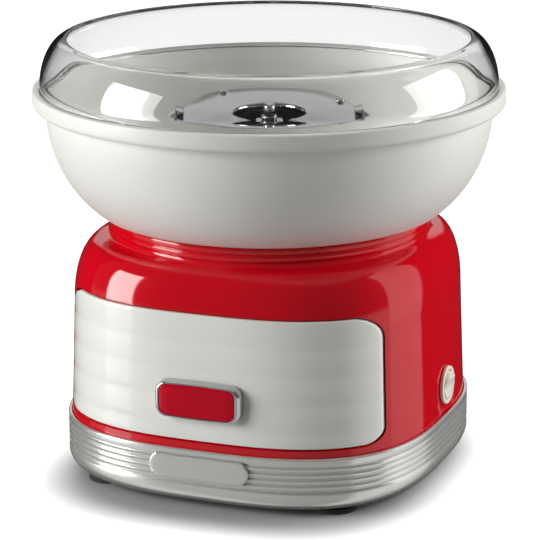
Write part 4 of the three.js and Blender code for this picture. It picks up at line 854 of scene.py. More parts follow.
dish = [(0, switch_face - DISH_DEPTH)]
for k in range(1, DISH_STEPS + 1):
    share = DISH_OVERRUN * k / DISH_STEPS
    dish.append((DISH_R * share, switch_face - DISH_DEPTH * (1 - share ** 2)))
dish += [(DISH_OVERRUN * DISH_R, switch_face + 4), (0, switch_face + 4)]
cut(housing, turned_at("dish_cutter", dish, lay_over, SWITCH_STEPS))
barrel_hole = pin(BARREL_R + FIT, switch_face - 8, switch_face + 3)
cut(housing, turned_at("barrel_cutter", barrel_hole, lay_over, SWITCH_STEPS))
rim = turned_at("switch_rim", eased([
    (0, switch_back), (BARREL_R, switch_back, 0.8), (BARREL_R, bezel_back, 0.3),
    (BEZEL_R, bezel_back, 0.5), (BEZEL_R, bezel_front, 1.5), (BARREL_BORE, bezel_front, 0.7),
    (BARREL_BORE, barrel_floor, 0.5), (0, barrel_floor),
], 5), lay_over, SWITCH_STEPS)
print("the switch's rim stands", round(bezel_front - switch_face, 2), "mm out of the wall")

# %% Eased blocks, and joining pieces
def block(name, x_span, y_span, z_span, ease=0.3):
    """Box with its twelve edges cut back and its corners rounded."""
    work = bmesh.new()
    bmesh.ops.create_cube(work, size=1)
    size = [(span[1] - span[0]) * MM for span in (x_span, y_span, z_span)]
    middle = [(span[1] + span[0]) / 2 * MM for span in (x_span, y_span, z_span)]
    for vert in work.verts:
        vert.co = Vector([vert.co[i] * size[i] + middle[i] for i in range(3)])
    bmesh.ops.bevel(work, geom=list(work.edges), offset=ease * MM, segments=3, profile=0.5,
                    affect="EDGES", clamp_overlap=True)
    mesh = bpy.data.meshes.new(name)
    work.to_mesh(mesh)
    work.free()
    return finish_mesh(name, mesh)


def join(name, *pieces):
    """One piece from several closed shells."""
    work = bmesh.new()
    for piece in pieces:
        mesh = piece.data
        mesh.transform(piece.matrix_world)
        work.from_mesh(mesh)
        bpy.data.objects.remove(piece)
    mesh = bpy.data.meshes.new(name)
    work.to_mesh(mesh)
    work.free()
    return stand(name, mesh)


print("ready to make blocks and to join shells")

# %% The switch's tabs
TAB_OFFSET = 5
TAB_HALF_W = 2.4
TAB_HALF_THICK = 0.4
TAB_LENGTH = 7
TAB_ROOT = 0.5
tabs = []
for i, side in enumerate((-1, 1)):
    z = SWITCH_Z + TAB_OFFSET * side
    tabs.append(block(
        f"tab_{i}", (switch_back - TAB_LENGTH, switch_back + TAB_ROOT),
        (SWITCH_Y - TAB_HALF_W, SWITCH_Y + TAB_HALF_W),
        (z - TAB_HALF_THICK, z + TAB_HALF_THICK), 0.2,
    ))
rim = join("switch_rim_and_barrel", rim, *tabs)
settle(rim, "switch_white", "body", "switch_housing")

# %% Shape of the rocker
ROCKER_R = 9.4
ROCKER_TILT = math.radians(11)
ROCKER_STEPS = 72
ROCKER_VALLEY = 3.6
ROCKER_PEAK = 6.2
ROCKER_FLOOR = -4.0
VALLEY_ROUNDING = 0.8
FACE_SHARES = (0.15, 0.3, 0.45, 0.6, 0.75, 0.88, 0.96, 1.0)
FACE_EDGE = 0.15
FACE_EASE = 0.25
FLANK_HEIGHTS = (3.2, 2.2, 1.0, 0.0, -1.2, -2.4, -3.4, ROCKER_FLOOR)
FLANK_FOLLOWS = 0.7
rocker_pivot = bezel_back - 1.2


def rocker_face(drop):
    """Height of the rocker's V face, with a rounded valley."""
    slope = (math.hypot(drop, VALLEY_ROUNDING) - VALLEY_ROUNDING) / (ROCKER_R + 1)
    return ROCKER_VALLEY + (ROCKER_PEAK - ROCKER_VALLEY) * slope


def on_rocker(x, y, z):
    """Tips a point with the rocker and moves it to the pivot."""
    tipped_x = x * math.cos(ROCKER_TILT) + z * math.sin(ROCKER_TILT)
    tipped_z = z * math.cos(ROCKER_TILT) - x * math.sin(ROCKER_TILT)
    return tipped_x + rocker_pivot, y + SWITCH_Y, tipped_z + SWITCH_Z


def face_point(share, y, z):
    """Point of the V face at a share of the way to its edge, in the direction (y, z)."""
    edge = ROCKER_R
    for _ in range(8):
        edge = math.sqrt(ROCKER_R ** 2 - rocker_face(edge * z) ** 2)
    r = (edge - FACE_EDGE) * share
    last, before = FACE_SHARES[-1], FACE_SHARES[-3]
    drop = FACE_EASE * max(0, (share - before) / (last - before)) ** 2
    return on_rocker(rocker_face(r * z) - drop, r * y, r * z)


def flank_point(low, y, z):
    """Point of the ball-shaped flank, whose upper rows follow the face's V."""
    top = rocker_face(math.sqrt(ROCKER_R ** 2 - low ** 2) * z)
    x = low + (top - ROCKER_VALLEY) * max(0, low / FLANK_HEIGHTS[0]) * FLANK_FOLLOWS
    r = math.sqrt(ROCKER_R ** 2 - x ** 2)
    return on_rocker(x, r * y, r * z)


print("the rocker's face rises", round(rocker_face(8) - rocker_face(0), 1), "mm over 8 mm")

# %% Make the rocker
def make_rocker():
    ways = [2 * math.pi * i / ROCKER_STEPS for i in range(ROCKER_STEPS)]
    corners, faces = [on_rocker(rocker_face(0), 0, 0)], []
    for share in FACE_SHARES:
        corners += [face_point(share, math.cos(a), math.sin(a)) for a in ways]
    for low in FLANK_HEIGHTS:
        corners += [flank_point(low, math.cos(a), math.sin(a)) for a in ways]
    corners.append(on_rocker(ROCKER_FLOOR, 0, 0))
    last_row = len(corners) - 1 - ROCKER_STEPS
    for i in range(ROCKER_STEPS):
        n = (i + 1) % ROCKER_STEPS
        faces.append((0, 1 + i, 1 + n))
        for a in range(1, last_row, ROCKER_STEPS):
            b = a + ROCKER_STEPS
            faces.append((a + i, b + i, b + n, a + n))
        faces.append((last_row + n, last_row + i, len(corners) - 1))
    return make_piece("rocker_ball", corners, faces, math.radians(60))


pivot = turned_at("pivot", pin(1.1, -10.1, 10.1), lambda x, y, z: on_rocker(x, z, y), 24)
rocker = join("switch_rocker_ball", make_rocker(), pivot)
settle(rocker, "switch_white", "rocker", "switch_rocker")

# %% The cord gland at the back
GLAND_Z = 52
GLAND_R = 6
GLAND_BORE = 3.8
GLAND_STEPS = 64
GLAND_LIP = 3
GLAND_BARB = 1.6
GLAND_TAIL = 4
GLAND_NOSE = 4.4


def face_back(x, y, z):
    """From an upright axis to the gland's axis, which points to +Y."""
    return x, z, GLAND_Z - y


back_face = shell_half(GLAND_Z)
gland_hole = pin(GLAND_R + FIT, back_face - 8, back_face + 3)
cut(housing, turned_at("gland_cutter", gland_hole, face_back, GLAND_STEPS))
outer = shell_half(GLAND_Z - GLAND_R - GLAND_LIP) + FIT
inner = shell_half(GLAND_Z + GLAND_R + GLAND_BARB) - SHELL_WALL - FIT
gland = turned_at("inlet_grommet", eased([
    (GLAND_BORE, inner - GLAND_TAIL, 0.4), (GLAND_R + GLAND_BARB, inner - GLAND_TAIL, 0.8),
    (GLAND_R + GLAND_BARB, inner, 0.4), (GLAND_R, inner, 0.3), (GLAND_R, outer, 0.3),
    (GLAND_R + GLAND_LIP, outer, 0.6), (GLAND_R + 2.4, outer + GLAND_NOSE / 2, 0.8),
    (GLAND_BORE + 1.2, outer + GLAND_NOSE, 0.8), (GLAND_BORE, outer + GLAND_NOSE, 0.4),
]), face_back, GLAND_STEPS)
settle(gland, "black_plastic", "body", "cord_gland")
settle(housing, "red_gloss", "body", "body_shell")

# %% [markdown]
# ## The badge and the nameplate
# The badge is a pillow-shaped chrome frame with a red field. It is built as rings that all have
# the same number of points, from the foot on the panel up over the curved flank and down into the
# pocket. The nameplate is a thin plate with bowed ends that lies on the ring. Both are left bare.

# %% The badge
FIELD_HALF_W = 25.2
FIELD_HALF_H = 9.7
BADGE_Z = 70.9
BADGE_RISE = 6
BADGE_BOW = 0.8
SIDE_SPREAD = 3.4
TOP_SPREAD = 2.0
INLAY_DEPTH = 1.6
FIELD_CORNER = 5.0
CREST_CORNER = 5.4
FOOT_CORNER = 7.0
badge_face = shell_half(BADGE_Z) + BADGE_RISE


def badge_ring(share, corner=FIELD_CORNER, shrink=0.0):
    """Outline at a share of the way from the field's edge to the frame's foot."""
    half_w = FIELD_HALF_W + SIDE_SPREAD * share - shrink
    half_h = FIELD_HALF_H + TOP_SPREAD * share - shrink
    return bar_outline(half_w, BADGE_Z - half_h, BADGE_Z + half_h, corner, BADGE_BOW)


def ringed(name, rings):
    """Piece made of rings of equal count; the first and last ring are joined as well."""
    count = len(rings[0])
    corners = [corner for ring in rings for corner in ring]
    faces = []
    for k in range(len(rings)):
        a, b = k * count, (k + 1) % len(rings) * count
        faces += [(a + i, a + (i + 1) % count, b + (i + 1) % count, b + i) for i in range(count)]
    return make_piece(name, corners, faces)


def on_panel(outline):
    """Points of an outline laid just in front of the fluted panel."""
    return [(x, front_y(x, shell_half(z) + flute(z) + FIT), z) for x, z in outline]


def at_depth(y, outline, share=1.0):
    """Points of an outline on an upright plane, drawn in towards the badge's middle."""
    return [(x * share, y, BADGE_Z + (z - BADGE_Z) * share) for x, z in outline]


badge_halves = FIELD_HALF_W + SIDE_SPREAD, FIELD_HALF_H + TOP_SPREAD
print("badge, wide and high in mm:", [round(2 * half, 1) for half in badge_halves])

# %% The badge's frame
CREST = 0.14
FLANK_ROWS = 14
FLANK_FOOT = 0.4
POCKET_EDGE = ((0.1, 0.03), (0.05, 0.15), (0.015, 0.4), (0.0, 0.7), (0.0, INLAY_DEPTH))
FILLS = (0.02, 0.35, 0.7)
pocket_floor = -badge_face + INLAY_DEPTH
frame_rings = []
for k in range(FLANK_ROWS + 1):
    t = math.pi / 2 * k / FLANK_ROWS
    corner = CREST_CORNER + (FOOT_CORNER - CREST_CORNER) * math.cos(t)
    outline = badge_ring(CREST + (1 - CREST) * math.cos(t), corner)
    depth = badge_face - (BADGE_RISE - FLANK_FOOT) * (1 - math.sin(t))
    seats = on_panel(outline)
    frame_rings.append([(x, min(-depth, seat[1]), z) for (x, z), seat in zip(outline, seats)])
for share, depth in POCKET_EDGE:
    frame_rings.append(at_depth(-badge_face + depth, badge_ring(share)))
for fill in reversed(FILLS):
    frame_rings.append(at_depth(pocket_floor, badge_ring(0), fill))
for fill in FILLS:
    drawn_in = at_depth(0, badge_ring(1, FOOT_CORNER), fill)
    frame_rings.append(on_panel([(x, z) for x, _, z in drawn_in]))
settle(ringed("badge_pillow_frame", frame_rings), "badge_chrome", "body", "badge_frame")

# %% The badge's red field
FIELD_THICK = 1.0
FIELD_EDGE = ((FIT, 0.25), (0.38, 0.08), (0.55, 0.0))
field_back = pocket_floor - FIT
field_front = field_back - FIELD_THICK
field_foot = badge_ring(0, FIELD_CORNER - FIT, FIT)
last_shrink = FIELD_EDGE[-1][0]
field_top = badge_ring(0, FIELD_CORNER - last_shrink, last_shrink)
field_rings = [at_depth(field_back, field_foot)]
for shrink, drop in FIELD_EDGE:
    field_rings.append(at_depth(field_front + drop, badge_ring(0, FIELD_CORNER - shrink, shrink)))
field_rings += [at_depth(field_front, field_top, fill) for fill in reversed(FILLS)]
field_rings += [at_depth(field_back, field_foot, fill) for fill in FILLS]
settle(ringed("badge_field", field_rings), "badge_red", "body", "badge_inlay")

# %% The nameplate
PLATE_HALF_W = 29
PLATE_HALF_H = 7.3
PLATE_Z = 27.8
PLATE_END = 4
PLATE_CORNER = 1.4
PLATE_THICK = 1.3
PLATE_EASE = 0.8
PLATE_ROWS = [0, 0.1, 0.25, 0.5, PLATE_EASE]
PLATE_SPACING = 2.0
RING_THICK = 2.2
RING_HALF = FOOT_HALF + FIT + RING_THICK
plate_back = RING_HALF + FIT


def plate_outline(inset):
    return bar_outline(PLATE_HALF_W - inset, PLATE_Z - PLATE_HALF_H + inset,
                       PLATE_Z + PLATE_HALF_H - inset, PLATE_CORNER - inset, end_bow=PLATE_END)


nameplate = make_piece("name_plate_blank", *slab(
    plate_outline, PLATE_ROWS, PLATE_SPACING,
    lambda x, z, inset: front_y(x, plate_back + PLATE_THICK - edge_drop(inset, PLATE_EASE)),
    lambda x, z: front_y(x, plate_back), len(plate_outline(0)),
))
settle(nameplate, "silver_trim", "body", "nameplate")

# %% [markdown]
# ## The ribbed ring, the base and its feet
# Five narrow grooves divide the ring into convex ribs, with a plain band below that curves in
# under the machine. The outline is drawn once and carried round the squared plan. The bottom
# cover is black, with vent slots, and stands on four rubber feet.

# %% The ring
RING_TOP = 39
RING_BOTTOM = 3.6
RING_LIP = RING_BOTTOM + 1.7
RING_STEPS = 288
GROOVE_TOP = 33.4
GROOVE_PITCH = 3.85
GROOVES = 5
GROOVE_DEPTH = 0.9
GROOVE_SIDE = 0.2
GROOVE_HALF = 1.2
FLOOR_HALF = 0.2
RIB_HALF = 0.5
RING_BAND = 14.4
BAND_ROWS = 12
BAND_TUCK = 4.6
BAND_CURVE = 2.2


def ring_outline():
    half, wall = RING_HALF, FOOT_HALF + FIT
    points = [(wall, RING_TOP, 0.5), (half, RING_TOP, 1.1)]
    for i in range(GROOVES):
        z = GROOVE_TOP - i * GROOVE_PITCH
        crown = z + GROOVE_PITCH / 2
        if i:
            points += [(half, crown + RIB_HALF), (half, crown - RIB_HALF)]
        points += [
            (half - GROOVE_SIDE, z + GROOVE_HALF, 0.5), (half - GROOVE_DEPTH, z + FLOOR_HALF, 0.3),
            (half - GROOVE_DEPTH, z - FLOOR_HALF, 0.3), (half - GROOVE_SIDE, z - GROOVE_HALF, 0.5),
        ]
    points += [(half, RING_BAND + 1.0, 0.6)]
    for k in range(BAND_ROWS + 1):
        t = k / BAND_ROWS
        points.append((half - BAND_TUCK * t ** BAND_CURVE, RING_BAND + (RING_LIP - RING_BAND) * t))
    points += [(half - 6.2, RING_LIP, 0.4), (half - 4.0, RING_LIP + 2.6), (wall, RING_BOTTOM + 6)]
    return points


ring = turned("ribbed_ring", ring_outline(), RING_STEPS, square_plan, 3)
settle(ring, "silver_trim", "body", "base_ring")

# %% Pegs and holes beside the axis
def peg(name, x, y, outline, steps=48):
    """Piece turned about an upright axis of its own at (x, y)."""
    return turned_at(name, outline, lambda a, b, c: (a + x, b + y, c), steps)


def drill(piece, x, y, radius, low, high):
    cut(piece, peg("hole", x, y, pin(radius, low, high)))


def round_the_axis(radius, *degrees):
    """Places at a radius from the machine's axis."""
    turns = [math.radians(degree) for degree in degrees]
    return [(radius * math.cos(turn), radius * math.sin(turn)) for turn in turns]


print("10 mm off the axis at 90 degrees:", [round(c) for c in round_the_axis(10, 90)[0]])

# %% The bottom cover
BASE_BOTTOM = 3.6
BASE_TOP = 6.4
BASE_LIP = 13
COVER_STEPS = 240
LIP_THICK = 2
FEET = [(76.5, -85.5), (-76.5, -85.5), (-76.5, 85.5), (76.5, 85.5)]
STEM_HOLE_R = 4.3
BASE_SCREWS = [(109.5, -32), (-109.5, -32), (-109.5, 32), (109.5, 32)]
BOSS_R = 6.6
BOSS_LOW = 5.2
HEAD_SEAT_R = 3.6
SCREW_HOLE_R = 1.9
cover_edge = FOOT_HALF - SHELL_WALL - FIT
lip_inside = cover_edge - LIP_THICK
cover = turned("bottom_cover", [
    (0, BASE_BOTTOM), (cover_edge - 1.2, BASE_BOTTOM, 1.2), (cover_edge, BASE_TOP + 0.4, 1.0),
    (cover_edge, BASE_LIP, 0.6), (lip_inside, BASE_LIP, 0.6), (lip_inside, BASE_TOP, 0.6),
    (0, BASE_TOP),
], COVER_STEPS, square_plan)
for x, y in BASE_SCREWS:
    room = square_plan(math.atan2(y, x)) * (lip_inside - 0.2) - math.hypot(x, y) + 4
    boss = peg("boss", x, y, pin(min(BOSS_R, room), BOSS_LOW, BASE_LIP))
    combine(cover, boss, "UNION")
    cut(cover, peg("screw_seat", x, y, [
        (0, 3), (HEAD_SEAT_R, 3), (HEAD_SEAT_R, BASE_TOP), (SCREW_HOLE_R, BASE_TOP),
        (SCREW_HOLE_R, 15), (0, 15),
    ]))
for x, y in FEET:
    drill(cover, x, y, STEM_HOLE_R, 3, 9)
print("the cover reaches", round(cover_edge, 1), "mm from the middle")

# %% Vent slots in the cover
VENTS = 7
VENT_PITCH = 8
VENT_HALF_W = 1.8
VENT_HALF_L = 28
VENT_CUT = (3, 9)
vent_outline = bar_outline(VENT_HALF_W, -VENT_HALF_L, VENT_HALF_L, VENT_HALF_W - 0.01, side_steps=2)
for i in range(VENTS):
    x = (i - (VENTS - 1) / 2) * VENT_PITCH * MM
    vent = make_piece("vent", *slab(
        lambda inset: vent_outline, [0], 50, lambda a, b, inset: VENT_CUT[0],
        lambda a, b: VENT_CUT[1], len(vent_outline),
    ))
    vent.data.transform(Matrix(((1, 0, 0, x), (0, 0, 1, 0), (0, 1, 0, 0), (0, 0, 0, 1))))
    vent.data.flip_normals()
    cut(cover, vent)
settle(cover, "black_plastic", "body", "base_plate")

# %% The feet
FOOT_OUTLINE = eased([
    (0, 0.6), (5, 0.6, 0.4), (6, 0, 0.4), (14, 0, 1.0), (13.2, 3.3, 0.6), (4, 3.3, 0.3),
    (4, 6.7, 0.2), (5.3, 6.7, 0.3), (3.2, 8.6, 0.6), (0, 8.6),
])
for i, (x, y) in enumerate(FEET):
    foot = peg(f"rubber_foot_{i + 1}", x, y, FOOT_OUTLINE, 64)
    settle(foot, "foot_rubber", "body", f"foot_{i + 1}")

# %% [markdown]
# ## The bowl
# The white bowl is turned about the axis: a wide flange at the top, a wall that curves down in
# a quarter ellipse, a foot that drops inside the collar, and a chimney round the spinner head.
# A step inside the flange takes the clear guard.

# %% Turn the bowl
BOWL_R = 150
BOWL_TOP = 245
BOWL_STEPS = 240
FLANGE_BOTTOM = 233.8
BOWL_FLOOR = 157
BOWL_WALL = 2.6
BOWL_FOOT_R = 98.8
BELLY_LOW_R = 75
BELLY_HIGH_R = 142
BELLY_DEPTH = 78.2
BELLY_ROWS = 28
RABBET_R = 146
RABBET_DEPTH = 3.4
RABBET_WIDTH = 3.6
CHIMNEY_FOOT_R = 68.8
CHIMNEY_OUT_R = 67
CHIMNEY_IN_R = 65
CHIMNEY_TOP = BOWL_FLOOR + 69


def belly_radius(z):
    """Radius of the outer wall, on a quarter ellipse under the flange."""
    share = math.sqrt(max(0.0, 1 - ((FLANGE_BOTTOM - z) / BELLY_DEPTH) ** 2))
    return BELLY_LOW_R + (BELLY_HIGH_R - BELLY_LOW_R) * share


def belly(low, inset):
    """Outline of the curved wall from a height up to the flange, set in from its outer face."""
    first = math.acos((FLANGE_BOTTOM - low) / BELLY_DEPTH)
    made = []
    for k in range(BELLY_ROWS + 1):
        turn = first + (math.pi / 2 - first) * k / BELLY_ROWS
        z = FLANGE_BOTTOM - BELLY_DEPTH * math.cos(turn)
        made.append((belly_radius(z) - inset, z))
    return made


ledge = COLLAR_TOP + FIT
inner_ledge = ledge + BOWL_WALL
inner_floor = BOWL_FLOOR + BOWL_WALL
inner_foot_r = BOWL_FOOT_R - BOWL_WALL
bowl = turned("white_bowl", [
    (CHIMNEY_FOOT_R, BOWL_FLOOR, 0.8), (BOWL_FOOT_R, BOWL_FLOOR, 1.2), (BOWL_FOOT_R, ledge, 0.4),
    (belly_radius(ledge) - 2.4, ledge, 1.0), *belly(ledge + 1.2, 0),
    (BOWL_R - 1.0, FLANGE_BOTTOM + 0.6, 1.4), (BOWL_R, FLANGE_BOTTOM + 2.6, 1.0),
    (BOWL_R, BOWL_TOP, 1.6), (RABBET_R, BOWL_TOP, 0.4), (RABBET_R, BOWL_TOP - RABBET_DEPTH, 0.3),
    (RABBET_R - RABBET_WIDTH, BOWL_TOP - RABBET_DEPTH, 0.6),
    *reversed(belly(inner_ledge, BOWL_WALL)),
    (inner_foot_r, inner_ledge, 1.2), (inner_foot_r, inner_floor, 2),
    (CHIMNEY_FOOT_R + 4, inner_floor, 2.4), (CHIMNEY_OUT_R, CHIMNEY_TOP, 1.0),
    (CHIMNEY_IN_R, CHIMNEY_TOP, 1.0),
], BOWL_STEPS)
settle(bowl, "bowl_white", "bowl", "bowl")

# %% [markdown]
# ## The clear guard
# The guard is a ring of clear plastic, blown so that its wall leans in towards the top. It is one
# closed shell with a rounded top edge, so light bends through both of its faces as it should. A
# blown wall isn't even: this one is thickest above its middle and thins out towards its foot and
# its top. It acts as a lens: low in the guard, the head behind it looks larger and mirrored.

# %% Outer face and thickness of the guard
GUARD_TOP = 276.6
GUARD_TOP_R = 128
GUARD_FOOT_R = RABBET_R - 0.7
GUARD_RISE = GUARD_TOP - BOWL_TOP
GUARD_WALL = 2.97
MIDDLE_UP, MIDDLE_THINNING = 23.5, 0.0018
UPPER_UP, UPPER_THINNING = 17, 0.0024
LOWER_UP, LOWER_THINNING = 7.4, 0.0202


def guard_radius(z):
    share = max(0.0, 1 - ((z - BOWL_TOP) / GUARD_RISE) ** 2)
    return GUARD_TOP_R + (GUARD_FOOT_R - GUARD_TOP_R) * math.sqrt(share)


def guard_thickness(z):
    """Wall thickness: it thins out on both sides of one height, above a second, below a third."""
    up = z - BOWL_TOP
    thinner = MIDDLE_THINNING * (up - MIDDLE_UP) ** 2
    thinner += UPPER_THINNING * max(0.0, up - UPPER_UP) ** 2
    thinner += LOWER_THINNING * max(0.0, LOWER_UP - up) ** 2
    return GUARD_WALL - thinner


for up in (0, 10, 20, 30):
    print("the guard's wall", up, "mm up is", round(guard_thickness(BOWL_TOP + up), 2), "mm thick")

# %% Turn the guard
GUARD_ROWS = 40
GUARD_REACH = 1.38
GUARD_STEPS = 240
guard_low = BOWL_TOP - RABBET_DEPTH + FIT
guard_fit_r = RABBET_R - FIT
guard_out, guard_in = [], []
for k in range(GUARD_ROWS + 1):
    turn = GUARD_REACH * k / GUARD_ROWS
    z = BOWL_TOP + GUARD_RISE * math.sin(turn)
    r = guard_radius(z)
    out, up = GUARD_RISE * math.cos(turn), (GUARD_FOOT_R - GUARD_TOP_R) * math.sin(turn)
    wall = guard_thickness(z) / math.hypot(out, up)
    guard_out.append((r, z))
    guard_in.append((r - wall * out, z - wall * up))
guard = turned("clear_guard", [
    (RABBET_R - 3.3, guard_low, 0.3), (guard_fit_r, guard_low, 0.5),
    (guard_fit_r, BOWL_TOP - 0.4, 0.3), *guard_out, (GUARD_TOP_R + 1.4, GUARD_TOP, 0.5),
    (GUARD_TOP_R - 0.4, GUARD_TOP, 0.3), (GUARD_TOP_R - 0.8, GUARD_TOP - 1, 0.2),
    *reversed(guard_in),
], GUARD_STEPS)
settle(guard, "clear_plastic", "guard", "splash_guard")

# %% [markdown]
# ## The spinner head
# The head has a polished disc with a sugar hole, a slotted band below its edge and a pan
# underneath. The sugar melts against the pan and leaves through the slots. One slotted segment is
# drawn, and a Geometry Nodes tree repeats it round the axis and welds the segments together.

# %% Tree that repeats a segment round the axis
def around_tree():
    tree, given, out = open_group(
        "repeat_around", "GeometryNodeTree",
        [("Geometry", "Geometry", None), ("Count", "Int", 6), ("First", "Float", 0.0),
         ("Weld", "Float", 0.00001), ("Finish", "Material", None)],
        [("Geometry", "Geometry")],
    )
    line = put(tree, "GeometryNodeMeshLine", {
        "Count": given.outputs["Count"], "Start Location": (0, 0, 0), "Offset": (0, 0, 0),
    })
    index = put(tree, "GeometryNodeInputIndex").outputs[0]
    step = calc(tree, "DIVIDE", 2 * math.pi, given.outputs["Count"])
    angle = calc(tree, "ADD", calc(tree, "MULTIPLY", index, step), given.outputs["First"])
    turn = put(tree, "ShaderNodeCombineXYZ", {2: angle}).outputs[0]
    copies = put(tree, "GeometryNodeInstanceOnPoints", {
        "Points": line.outputs[0], "Instance": given.outputs["Geometry"], "Rotation": turn,
    })
    real = put(tree, "GeometryNodeRealizeInstances", {"Geometry": copies.outputs[0]})
    weld = put(tree, "GeometryNodeMergeByDistance", {
        "Geometry": real.outputs[0], "Distance": given.outputs["Weld"],
    })
    done = put(tree, "GeometryNodeSetMaterial", {
        "Geometry": weld.outputs[0], "Material": given.outputs["Finish"],
    })
    tree.links.new(done.outputs[0], out.inputs["Geometry"])
    return tree


repeat_around = around_tree()
print("the repeating tree has", len(repeat_around.nodes), "nodes")

# %% One segment of the slotted band
HEAD_TOP = 230
HEAD_BOTTOM = 211.6
HEAD_R = 57.8
DISC_THICK = 1.2
BAND_R = 56.4
BAND_SLOTS = 24
SLOT_HALF_W = 0.9
SLOT_MARGIN = 2.5
STRAP_ROW = 1.2
STRAP_COLUMN = 0.6
SHEET = 1.0
disc_low = HEAD_TOP - DISC_THICK
pan_top = HEAD_BOTTOM + SHEET
band_low = pan_top + FIT
band_high = disc_low - FIT


def band_segment():
    """One 24th of the band: a bent frame of flat faces round a straight slot."""
    reach, half_slot = math.pi / BAND_SLOTS, SLOT_HALF_W / BAND_R
    slot_low, slot_high = band_low + SLOT_MARGIN, band_high - SLOT_MARGIN
    strap = STRAP_COLUMN * reach
    columns = [-reach, -strap, -half_slot, 0.0, half_slot, strap, reach]
    rows = [band_low, slot_low - STRAP_ROW, slot_low, (slot_low + slot_high) / 2, slot_high,
            slot_high + STRAP_ROW, band_high]
    corners = []
    for r in (BAND_R, BAND_R - SHEET):
        for z in rows:
            corners += [(r * math.cos(a), r * math.sin(a), z) for a in columns]
    wide, tall = len(columns), len(rows)
    layer = wide * tall

    def at(row, column, side):
        return side * layer + row * wide + column

    faces = []
    for row in range(tall - 1):
        for column in range(wide - 1):
            if column in (2, 3) and row in (2, 3):
                continue
            a = [at(row, column, 0), at(row, column + 1, 0), at(row + 1, column + 1, 0),
                 at(row + 1, column, 0)]
            faces += [a, [i + layer for i in reversed(a)]]
    for column in range(wide - 1):
        for row in (0, tall - 1):
            faces.append([at(row, column, 0), at(row, column + 1, 0), at(row, column + 1, 1),
                          at(row, column, 1)])
    loop = [(2, 2), (2, 3), (2, 4), (3, 4), (4, 4), (4, 3), (4, 2), (3, 2)]
    for (r1, c1), (r2, c2) in zip(loop, loop[1:] + loop[:1]):
        faces.append([at(r1, c1, 0), at(r2, c2, 0), at(r2, c2, 1), at(r1, c1, 1)])
    mesh = bpy.data.meshes.new("segment")
    mesh.from_pydata([[c * MM for c in corner] for corner in corners], [], faces)
    piece = bpy.data.objects.new("segment", mesh)
    bpy.context.scene.collection.objects.link(piece)
    return piece


print("one segment spans", 360 / BAND_SLOTS, "degrees")

# %% The slotted band
slotted_band = run_tree(band_segment(), repeat_around, {
    "Count": BAND_SLOTS, "First": math.pi / BAND_SLOTS, "Weld": 0.00001,
    "Finish": finishes["sheet_steel"],
}, "slotted_band")
settle(slotted_band,"sheet_steel", "head", "head_band")

# %% The disc and the pan
DISC_STEPS = 192
PAN_STEPS = 160
HOPPER_R = 23
HOPPER_LIP = 2.4
DISC_LIP = 2.2
PAN_HOLE_R = 6.9
PAN_RIM_R = 49.5
PAN_RIM_TOP = pan_top + 6.5
RIVETS = round_the_axis(52.9, 51.6, 145.8)
RIVET_HOLE_R = 1.7
disc = turned("polished_disc", [
    (HOPPER_R, disc_low - HOPPER_LIP, 0.4), (HOPPER_R + SHEET, disc_low - HOPPER_LIP, 0.4),
    (HOPPER_R + SHEET, disc_low, 0.6), (HEAD_R - SHEET, disc_low, 0.6),
    (HEAD_R - SHEET, disc_low - DISC_LIP, 0.3), (HEAD_R, disc_low - DISC_LIP, 0.4),
    (HEAD_R, HEAD_TOP, 1.4), (HOPPER_R, HEAD_TOP, 1.4),
], DISC_STEPS)
pan = turned("melting_pan", [
    (PAN_HOLE_R, HEAD_BOTTOM, 0.2), (BAND_R, HEAD_BOTTOM, 0.4), (BAND_R, pan_top, 0.4),
    (PAN_RIM_R, pan_top, 0.3), (PAN_RIM_R, PAN_RIM_TOP, 0.3), (PAN_RIM_R - SHEET, PAN_RIM_TOP, 0.3),
    (PAN_RIM_R - SHEET, pan_top, 0.6), (PAN_HOLE_R, pan_top, 0.2),
], PAN_STEPS)
for x, y in RIVETS:
    drill(disc, x, y, RIVET_HOLE_R, disc_low - 4, HEAD_TOP + 2)
    drill(pan, x, y, RIVET_HOLE_R, HEAD_BOTTOM - 1, pan_top + 1)
settle(disc, "polished_steel", "head", "head_plate")
settle(pan, "element_steel", "head", "head_pan")

# %% The rivets
RIVET_R = 1.4
under, over = HEAD_BOTTOM - FIT, HEAD_TOP + FIT
for i, (x, y) in enumerate(RIVETS):
    rivet = peg(f"rivet_{i + 1}", x, y, eased([
        (0, under - 1), (2, under - 1, 0.6), (2.5, under, 0.2), (RIVET_R, under, 0.1),
        (RIVET_R, over, 0.1), (2.6, over, 0.2), (2.3, over + 0.8, 0.9), (0, over + 1.1),
    ]), 40)
    settle(rivet, "screw_steel", "head", f"head_rivet_{i + 1}")

# %% Outlines that are given a depth
PRISM_EASE = 0.25
PRISM_EASE_MIDDLE = 0.08


def eased_prism(name, outline, half_depth, turn, easing=3):
    """Rounded outline (distance out, height) given a depth and turned about the axis."""
    points = eased(outline, easing)
    layers = [(0, PRISM_EASE), (PRISM_EASE_MIDDLE, PRISM_EASE_MIDDLE), (PRISM_EASE, 0)]
    layers = ([(drop - half_depth, inset) for drop, inset in layers]
              + [(half_depth - drop, inset) for drop, inset in reversed(layers)])
    count = len(points)
    corners, faces = [], []
    for depth, inset in layers:
        for k, point in enumerate(points):
            before, after = np.array(points[k - 1]), np.array(points[(k + 1) % count])
            along = after - before
            normal = np.array([along[1], -along[0]]) / (np.linalg.norm(along) or 1)
            x, z = np.array(point) - normal * inset
            corners.append((x * math.cos(turn) - depth * math.sin(turn),
                            x * math.sin(turn) + depth * math.cos(turn), z))
    for k in range(len(layers) - 1):
        a, b = k * count, (k + 1) * count
        faces += [(a + i, a + (i + 1) % count, b + (i + 1) % count, b + i) for i in range(count)]
    faces.append(tuple(range(count)))
    faces.append(tuple(range(len(corners) - count, len(corners))))
    return make_piece(name, corners, faces)


print("a prism's edges are eased by", PRISM_EASE, "mm")

